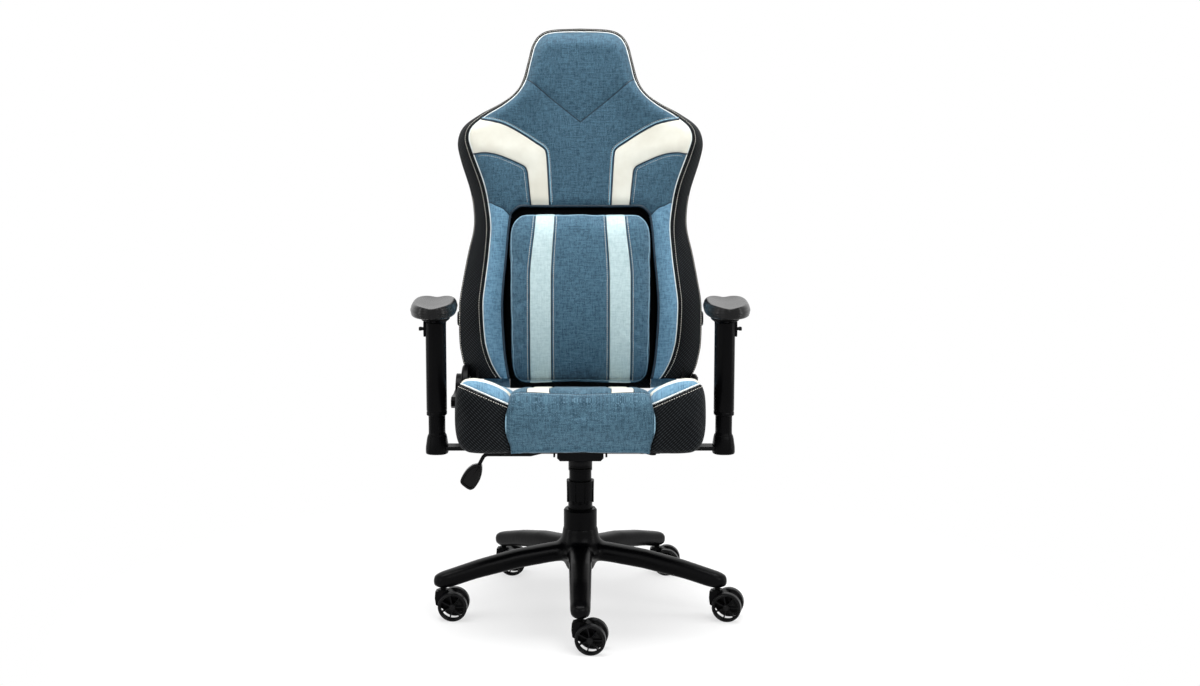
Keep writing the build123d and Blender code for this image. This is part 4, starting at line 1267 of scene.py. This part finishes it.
def seat_cushion():
    """Middle panel with a round waterfall front; two cream stripes start at the cross seam."""
    stations = [(148, 10), (147, 6), (144, 2.5), (136, 0.5), (90, 0), (0, 0)]
    stations += [(-x, inset) for x, inset in reversed(stations[:-1])]
    loops = [(x, cushion_loop(inset + 2)) for x, inset in stations]
    verts, faces = stuffed([np.column_stack([np.full(len(loop), x), loop]) for x, loop in loops],
                           voxel=6.0, reach=6.0)
    verts[:, 2] = np.maximum(verts[:, 2], SEAT_FLOOR)
    verts[:, 0] *= 1 - seam_inset(verts[:, 2]) / SEAM_X
    cover = Cover((verts, faces))
    for x in SEAT_STRIPE:
        for side in (1, -1):
            cover.seam((x * side, 0, 0), (1, 0, 0), lambda p: (
                ease(SEAT_CROSS_SEAM - 3, SEAT_CROSS_SEAM + 3, p[:, 1]) * ease(400, STRIPE_LOW, p[:, 2])))
    cover.seam((0, SEAT_CROSS_SEAM, 0), (0, 1, 0), lambda p: ease(440, 470, p[:, 2]), depth=1.6)
    verts, faces = cover.part()
    middle = centres(verts, faces)
    across = np.abs(middle[:, 0])
    stripe = (across > SEAT_STRIPE[0]) & (across < SEAT_STRIPE[1]) & (middle[:, 1] > SEAT_CROSS_SEAM)
    stripe &= (middle[:, 2] > STRIPE_LOW) & (middle[:, 1] < 195)
    kinds = np.select([stripe, middle[:, 2] < SEAT_FLOOR + 2], [1, 2], 0)
    shell = Shell().add((verts, faces), kinds, np.column_stack([verts[:, 0], verts[:, 2] - verts[:, 1]]))
    # The middle panel takes the darker copy of the canvas: painted shade.
    seat = shell.piece("seat_cushion_cover", [SHADED_CANVAS_SEAT, CREAM, POCKET], "seat", "fabric_blue")
    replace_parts(seat, "seat_cushion")
    return surface((verts, faces))


def seam_inset(z):
    """The seams beside the middle panel run inwards at the seat's bottom and over its raised front."""
    return 9 * (1 - ease(372, 430, z)) + 10 * ease(440, 500, z)


def seat_rays(tree, x, lift=0.0):
    """The cushion's outline at x, from its front foot over the top to the rear."""
    turn = np.radians(np.arange(200, -20, -1.0))
    ways = np.column_stack([np.zeros(len(turn)), np.cos(turn), np.sin(turn)])
    return outermost(tree, (x, *SEAT_MIDDLE) + SEAT_RAY_START * ways, -ways, lift)


def seat_trim(tree):
    """Piping beside the middle panel, tapes along its stripes and cross seam, and one row of stitches."""
    piping, tapes = [], []
    for side in (1, -1):
        edge = seat_rays(tree, side * 143)
        edge[:, 0] -= side * seam_inset(edge[:, 2])
        piping.append((even(edge, 5), 1.5))
        for x in SEAT_STRIPE:
            seam = seat_rays(tree, side * x, lift=-0.4)
            seam = seam[(seam[:, 1] > SEAT_CROSS_SEAM) & (seam[:, 2] > STRIPE_LOW)]
            tapes.append((even(seam, 5), 1.4))
    across = np.arange(-132, 133, 4.0)
    tapes.append((dropped(tree, across, SEAT_CROSS_SEAM) - (0, 0, 0.4), 1.1))
    front = dropped(tree, across, SEAT_CROSS_SEAM - 6) + (0, 0, 0.5)
    cords("seat_cushion_piping", piping, SKY, "seat")
    cords("seat_seam_tapes", tapes, NAVY, "seat")
    stitched("seat_cross_stitching", [front], "seat", THREAD_BLUE,
             pitch=4.5, long=3.0, thick=0.8)


def bolster_ring(y, crest, fall, reach, inset):
    """Across the side bolster at y, as a closed ring seen from the front."""
    width = reach - SEAM_X
    points = [(-6, SEAT_FLOOR), (width - 36, SEAT_FLOOR), (width - 12, 381), (width - 1, 402), (width, 430),
              (width, crest - 44), (0.985 * width, crest - 24), (0.93 * width, crest - 9),
              (0.78 * width, crest), (0.52 * width, crest - 2), (0.3 * width, crest - 0.24 * fall),
              (0.12 * width, crest - 0.55 * fall), (0, crest - 0.85 * fall), (-6, crest - fall - 8),
              (-6, SEAT_FLOOR + 12)]
    loop = even(curve([(SEAM_X + x, z) for x, z in points], 6, closed=True), 7, True)
    loop = even(loop, 1.0, True)
    loop = loop[np.linspace(0, len(loop), 64, endpoint=False).astype(int)]
    loop = shrunk(loop, inset + 1.5)
    loop[:, 1] = np.maximum(loop[:, 1], SEAT_FLOOR)
    loop[:, 0] -= (1 - ease(SEAM_X, SEAM_X + 40, loop[:, 0])) * seam_inset(loop[:, 1])
    return at_depth(loop, y)


def wing_height(points):
    """Height of points above the slanted plane that divides the wing from the black side."""
    return (points - np.array(WING_SEAM_START, float)) @ WING_NORMAL


def bolster_part():
    """The left bolster's cover with its seams, made once and mirrored for the other side."""
    verts, faces = stuffed([bolster_ring(*s) for s in BOLSTER_STATIONS], voxel=6.0, reach=6.0)
    verts[:, 2] = np.maximum(verts[:, 2], SEAT_FLOOR)
    cover = Cover((verts, faces))
    cover.seam(WING_SEAM_START, WING_NORMAL, None, width=3.5, depth=2.4)
    for y in (BAND_FRONT, BAND_REAR):
        cover.seam((0, y, 0), (0, 1, 0), lambda p: ease(-6, 0, wing_height(p)), depth=1.4)
    return cover.part()


def mirrored(part, side):
    """The part, or its mirror image with its faces turned back outwards."""
    verts, faces = part
    if side > 0:
        return verts, faces
    return verts * np.array([-1, 1, 1]), [f[::-1] for f in faces]


def seat_bolsters():
    """Side bolsters: black sides, and blue wings in a lighter copy of the canvas as painted light, which a cream
    band crosses.
    """
    part = bolster_part()
    verts, faces = part
    middle = centres(verts, faces)
    wing = wing_height(middle) > 0
    band = wing & (middle[:, 1] > BAND_FRONT) & (middle[:, 1] < BAND_REAR)
    kinds = np.select([middle[:, 2] < SEAT_FLOOR + 1, band, wing], [3, 2, 1], 0)
    behind = np.maximum(verts[:, 1] - BOLSTER_FRONT, 0)
    over = wing_height(verts) > 0.5
    cloth = np.column_stack([verts[:, 0] + behind * ~over, verts[:, 2] - behind * over])
    tree = surface(part)
    edge, stitch = bolster_edge(tree, 0.0), bolster_edge(tree, -7.0)
    bands = [bolster_cross(tree, y) for y in (BAND_FRONT, BAND_REAR)]
    # The wings take the lighter copy of the canvas: painted light.
    finishes = [BLACK, LIT_CANVAS_SIDE, CREAM, POCKET]
    for name, side in SIDES.items():
        shell = Shell().add(mirrored(part, side), kinds, cloth)
        cover = shell.piece(f"seat_bolster_cover_{name}", finishes, "seat", "cover_black")
        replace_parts(cover, f"seat_bolster_{name}")
        flip = np.array([side, 1, 1])
        cords(f"seat_wing_piping_{name}", [(edge * flip, 1.8)], WHITE, "seat")
        cords(f"seat_wing_tapes_{name}", [(line * flip, 1.0) for line in bands], SKY, "seat")
        stitched(f"seat_wing_stitching_{name}", [stitch * flip], "seat", THREAD)


def bolster_edge(tree, rise):
    """Along the wing's slanted seam, or rise above it: up the front, round the corner, back to the rear."""
    origin = np.array(WING_MIDDLE, float)
    origin += WING_NORMAL * (rise - wing_height(origin[None])[0])
    along = np.array([0, 1, -WING_SEAM_FALL]) / math.hypot(1, WING_SEAM_FALL)
    across = np.cross(along, WING_NORMAL)
    if across[0] < 0:
        across = -across
    ways = []
    for turn in np.radians(np.arange(-152, 62, 1.2)):
        way = across * math.cos(turn) * WING_HALF_WIDTH + along * math.sin(turn) * WING_HALF_LENGTH
        ways.append(way / np.linalg.norm(way))
    ways = np.array(ways)
    line = outermost(tree, origin + ways * RAY_START, -ways, 0.3)
    return even(curve(even(line, 12), 4), 4)


def bolster_cross(tree, y):
    """Over the wing at y, from the middle seam to the outer edge."""
    hits = dropped(tree, np.arange(141, 246, 3.0), y)
    return hits[wing_height(hits) > -1] - (0, 0, 0.3)


# ---------------------------------------------------------------- arm pads


def arm_pad_ring(t):
    """Across an arm pad at t, from -1 at its front tip to 1 at its rear."""
    end = (1 - abs(t) ** 3.2) ** 0.44
    half = (47 + 1.5 * t) * end**0.9
    lip = 7 * end**1.2
    section = [(0, 650.5 - lip), (0.34, 651 - 0.8 * lip), (0.6, 651 - 0.3 * lip), (0.78, 651), (0.89, 648.6),
               (0.95, 644.6), (0.962, 643), (0.952, 642), (0.975, 640.6), (1.0, 637), (0.99, 634.2),
               (0.955, 633), (0.98, 631.6), (0.965, 629.2), (0.94, 628.2), (0.95, 626.8), (0.8, 623.6),
               (0.42, 622.8), (0, 622.8)]
    height = end**0.2
    right = [(x * half, 635 + (z - 635) * height) for x, z in section]
    left = [(-x, z) for x, z in right[-2:0:-1]]
    loop = curve(right + left, 4, closed=True)
    return np.column_stack([ARM_PAD_X + 6 * t + loop[:, 0], np.full(len(loop), -20 + 129 * t), loop[:, 1]])


def arm_pads():
    """Soft pads with raised long edges, a dished middle and a parting line all round."""
    part = skin([arm_pad_ring(math.sin(turn)) for turn in np.radians(np.linspace(-87, 87, 59))])
    for name, side in SIDES.items():
        pad = Shell().add(mirrored(part, side))
        pad = pad.piece(f"arm_pad_cover_{name}", [SKINNED], f"arm_{name}", "pad_black")
        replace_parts(pad, f"arm_pad_{name}")


def oval(half_x, half_y, z, power=2.7):
    """A rounded-off rectangle around the arm post at height z."""
    turn = around(44)
    x = ARM_X + half_x * blunt(np.cos(turn), 2 / power)
    y = ARM_Y + half_y * blunt(np.sin(turn), 2 / power)
    return np.column_stack([x, y, np.full(len(turn), z)])


def bezel_ring(x, half_y, half_z):
    """A rounded-off rectangle that faces sideways, round the height button."""
    flat = oval(half_y, half_z, x, 5.0)
    return np.column_stack([flat[:, 2], ARM_Y + flat[:, 0] - ARM_X, BEZEL_Z + flat[:, 1] - ARM_Y])


def arm_tubes():
    """Fixed posts in their flared shoes, and the sleeves with a lip, a flange and the button's bezel."""
    sleeve = skin([oval(*ring) for ring in SLEEVE_RINGS])
    post = skin([oval(*ring) for ring in POST_RINGS])
    bezel = skin([bezel_ring(*ring) for ring in BEZEL_RINGS])
    for name, side in SIDES.items():
        outer = Shell().add(mirrored(sleeve, side)).add(mirrored(bezel, side))
        outer = crease(outer.piece(f"arm_sleeve_tube_{name}", [PLASTIC], f"arm_{name}", "plastic_black"))
        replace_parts(outer, f"arm_sleeve_{name}")
        fixed = Shell().add(mirrored(post, side))
        fixed = crease(fixed.piece(f"arm_post_tube_{name}", [PLASTIC], "seat", "plastic_black"))
        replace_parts(fixed, f"arm_post_{name}")


def arm_buttons():
    """Height buttons: a rounded stub that stands out of each bezel."""
    part = skin([bezel_ring(*ring) for ring in BUTTON_RINGS])
    for name, side in SIDES.items():
        button = Shell().add(mirrored(part, side))
        button = button.piece(f"arm_button_cap_{name}", [GLOSS], f"arm_button_{name}", "plastic_gloss")
        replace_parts(crease(button), f"arm_button_{name}")


# ---------------------------------------------------------------- base


def leg_ring(r):
    """Across a base leg at a distance from the axis: a rounded arch, flat underneath."""
    top = np.interp(r, *LEG_TOP)
    low = np.interp(r, *LEG_LOW)
    half = np.interp(r, *LEG_HALF)
    past = r - LEG_ROUND
    if past > 0:
        half = math.sqrt(max(half**2 - past**2, 9.0))
    turn = around(28)
    x = half * blunt(np.cos(turn), 0.62)
    z = (top + low) / 2 + (top - low) / 2 * blunt(np.sin(turn), 0.72)
    return at_depth(np.column_stack([x, z]), -r)


def star_base():
    """Moulded five-leg base: legs and hub run into each other with soft fillets."""
    verts, faces = skin([leg_ring(r) for r in [*range(8, 296, 12), LEG_ROUND, 303, 309, 313, 316, 317.5]])
    shell = Shell()
    for i in range(5):
        turn = math.radians(72 * i)
        c, s = math.cos(turn), math.sin(turn)
        shell.add((verts @ np.array([[c, s, 0], [-s, c, 0], [0, 0, 1]]), faces))
    shell.add(turned(HUB_PROFILE))
    part = gridded(scratch(np.vstack(shell.verts), shell.faces), voxel=3.0, passes=30)
    base = Shell().add(part).piece("star_base_moulding", [NYLON], "base", "nylon_black")
    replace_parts(base, "star_base")


def box_centre(node):
    low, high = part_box(node)
    return (np.array(low) + np.array(high)) / 2 / MM


def about(centre, axis):
    """Moves a part made about Z so that its Z lies along the axis through the centre."""
    side = np.cross((0, 0, 1), axis)
    side /= np.linalg.norm(side)
    basis = np.array([side, np.cross(axis, side), axis])
    return lambda points: centre + points @ basis


def wheel_trims():
    """Rim beads and hub caps on every wheel, and a web inside each far wheel."""
    for caster in CASTERS:
        centre = {w: box_centre(f"caster_{caster}_wheel_{w}") for w in ("near", "far")}
        for wheel, other in (("near", "far"), ("far", "near")):
            out = centre[wheel] - centre[other]
            place = about(centre[wheel], out / np.linalg.norm(out))
            shell = Shell()
            for r, z in RIM_BEADS:
                shell.add(tube(circle(r, z, 48), 0.9, 6, closed=True), place=place)
            shell.add(turned(HUB_CAP, 28), place=place)
            if wheel == "far":
                shell.add(turned(WHEEL_WEB, 40), place=place)
            body = f"caster_{caster}_wheel_{wheel}"
            crease(shell.piece(f"caster_{caster}_{wheel}_trim", [GLOSS], body, "wheel"))


def lever_paddle():
    """Leaf-shaped paddle with a raised rim round its thumb hollow."""
    loop = even(curve(PADDLE_EDGE, 8, closed=True), 1.5, True)
    part = skin([at_depth(shrunk(loop, inset), y) for inset, y in PADDLE_RINGS])
    paddle = Shell().add(part).piece("lever_paddle_grip", [GLOSS], "lift_lever", "plastic_gloss")
    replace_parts(crease(paddle), "lift_lever_paddle")


def foot_flap():
    """Cloth that hangs below the backrest behind the lumbar pad, and closes the gap above the seat."""
    shell = Shell()
    parts = ((-FLAP_INNER, FLAP_INNER, FLAP_MIDDLE, 0), (FLAP_INNER, FLAP_OUTER, FLAP_SIDE, 1),
             (-FLAP_OUTER, -FLAP_INNER, FLAP_SIDE, 1))
    for low, high, profile, kind in parts:
        rings = []
        for x in np.linspace(low, high, FLAP_STEPS):
            ripple = math.sin(x / RIPPLE)
            rings.append(np.column_stack([np.full(len(profile), x), profile + (ripple, 0)]))
        shell.add(skin(rings), kind, place=lean)
    # The flap's side pieces take the lighter copy of the canvas: painted light.
    shell.piece("backrest_foot_flap", [BLACK, LIT_CANVAS_SIDE], "back", "cover_black")


def hardware():
    """Socket screws of the recliner covers, brackets, tilt plate and arm flanges."""
    down, heads = (0, 0, -1), []
    for side in SIDES.values():
        r, out = COVER_SCREWS[side]
        for turn in np.radians((55, 175, 295)):
            y, z = RECLINE_Y + r * math.cos(turn), RECLINE_Z + r * math.sin(turn)
            heads.append(((side * out, y, z), (side, 0, 0)))
        heads += [((side * x, ARM_Y + y, BRACKET_SCREW_Z), down) for x in (150, 215) for y in (-9, 9)]
        heads += [((side * 66, y, PLATE_SCREW_Z), down) for y in (-72, 72)]
    screws("seat_socket_screws", heads, 9, "seat", COATED)
    for name, side in SIDES.items():
        heads = [((side * ARM_X, ARM_Y + y, FLANGE_SCREW_Z), down) for y in (-37, 37)]
        screws(f"arm_flange_screws_{name}", heads, 7, f"arm_{name}", COATED)


# ---------------------------------------------------------------- stage


def studio():
    """Surround that is bright behind the chair and dim in front, soft lamps, and the floor."""
    scene = bpy.context.scene
    scene.view_settings.view_transform = "Standard"
    scene.world = bpy.data.worlds.new("studio_world")
    scene.world.use_nodes = True
    nodes = Nodes(scene.world.node_tree, "Background")
    slope = nodes.node("ShaderNodeVectorMath", {"operation": "DOT_PRODUCT"},
                       {0: nodes.node("ShaderNodeTexCoord", output="Generated"), 1: TOWARDS_REAR}, "Value")
    nodes.feed("Color", slope.clip(-0.7, 0.9, *SURROUND_LIGHT).larger(nodes.seen()))
    for name, place, size, power in LAMPS:
        lamp = bpy.data.lights.new(name, "AREA")
        lamp.shape, lamp.size, lamp.size_y, lamp.energy = "RECTANGLE", *size, power
        obj = placed(name, lamp)
        obj.location = place
        obj.rotation_euler = (Vector(LAMP_AIM) - Vector(place)).to_track_quat("-Z", "Y").to_euler()
    corners = [(x * FLOOR_REACH, y * FLOOR_REACH, 0) for x, y in ((-1, -1), (1, -1), (1, 1), (-1, 1))]
    floor = placed("floor", plain_mesh("floor", corners, faces=[(0, 1, 2, 3)], unit=1))
    floor.data.materials.append(floor_finish())


def floor_finish():
    """Pale floor that keeps the shadow under the chair and turns plain white around it."""
    material = bpy.data.materials.new("pale_floor")
    material.use_nodes = True
    nodes = Nodes(material.node_tree, "Material Output")
    nodes.tree.nodes.remove(nodes.tree.nodes["Principled BSDF"])
    radius = nodes.node("ShaderNodeVectorMath", {"operation": "LENGTH"},
                        {0: nodes.node("ShaderNodeTexCoord", output="Object")}, "Value")
    share = nodes.seen() * radius.clip(0.35, 1.1, 0.6, 1.0, "SMOOTHSTEP")
    matt = nodes.node("ShaderNodeBsdfDiffuse", {}, {"Color": (0.9, 0.9, 0.9, 1)})
    glow = nodes.node("ShaderNodeEmission")
    nodes.feed("Surface", nodes.node("ShaderNodeMixShader", {}, {0: share, 1: matt, 2: glow}))
    return material


def camera():
    """Straight in front, a little above the armrests, looking slightly down."""
    data = bpy.data.cameras.new("camera")
    data.lens, data.sensor_width, data.shift_x = CAMERA_LENS, CAMERA_FILM, CAMERA_SHIFT
    obj = placed("camera", data)
    obj.location = CAMERA_PLACE
    obj.rotation_euler = (math.radians(90 - CAMERA_DIP), 0, 0)
    bpy.context.scene.camera = obj


camera()
studio()
dress_frame()
backrest_front()
backrest_rear()
backrest_trim()
lumbar_pad()
seat_trim(seat_cushion())
seat_bolsters()
foot_flap()
arm_pads()
arm_tubes()
arm_buttons()
star_base()
wheel_trims()
lever_paddle()
hardware()
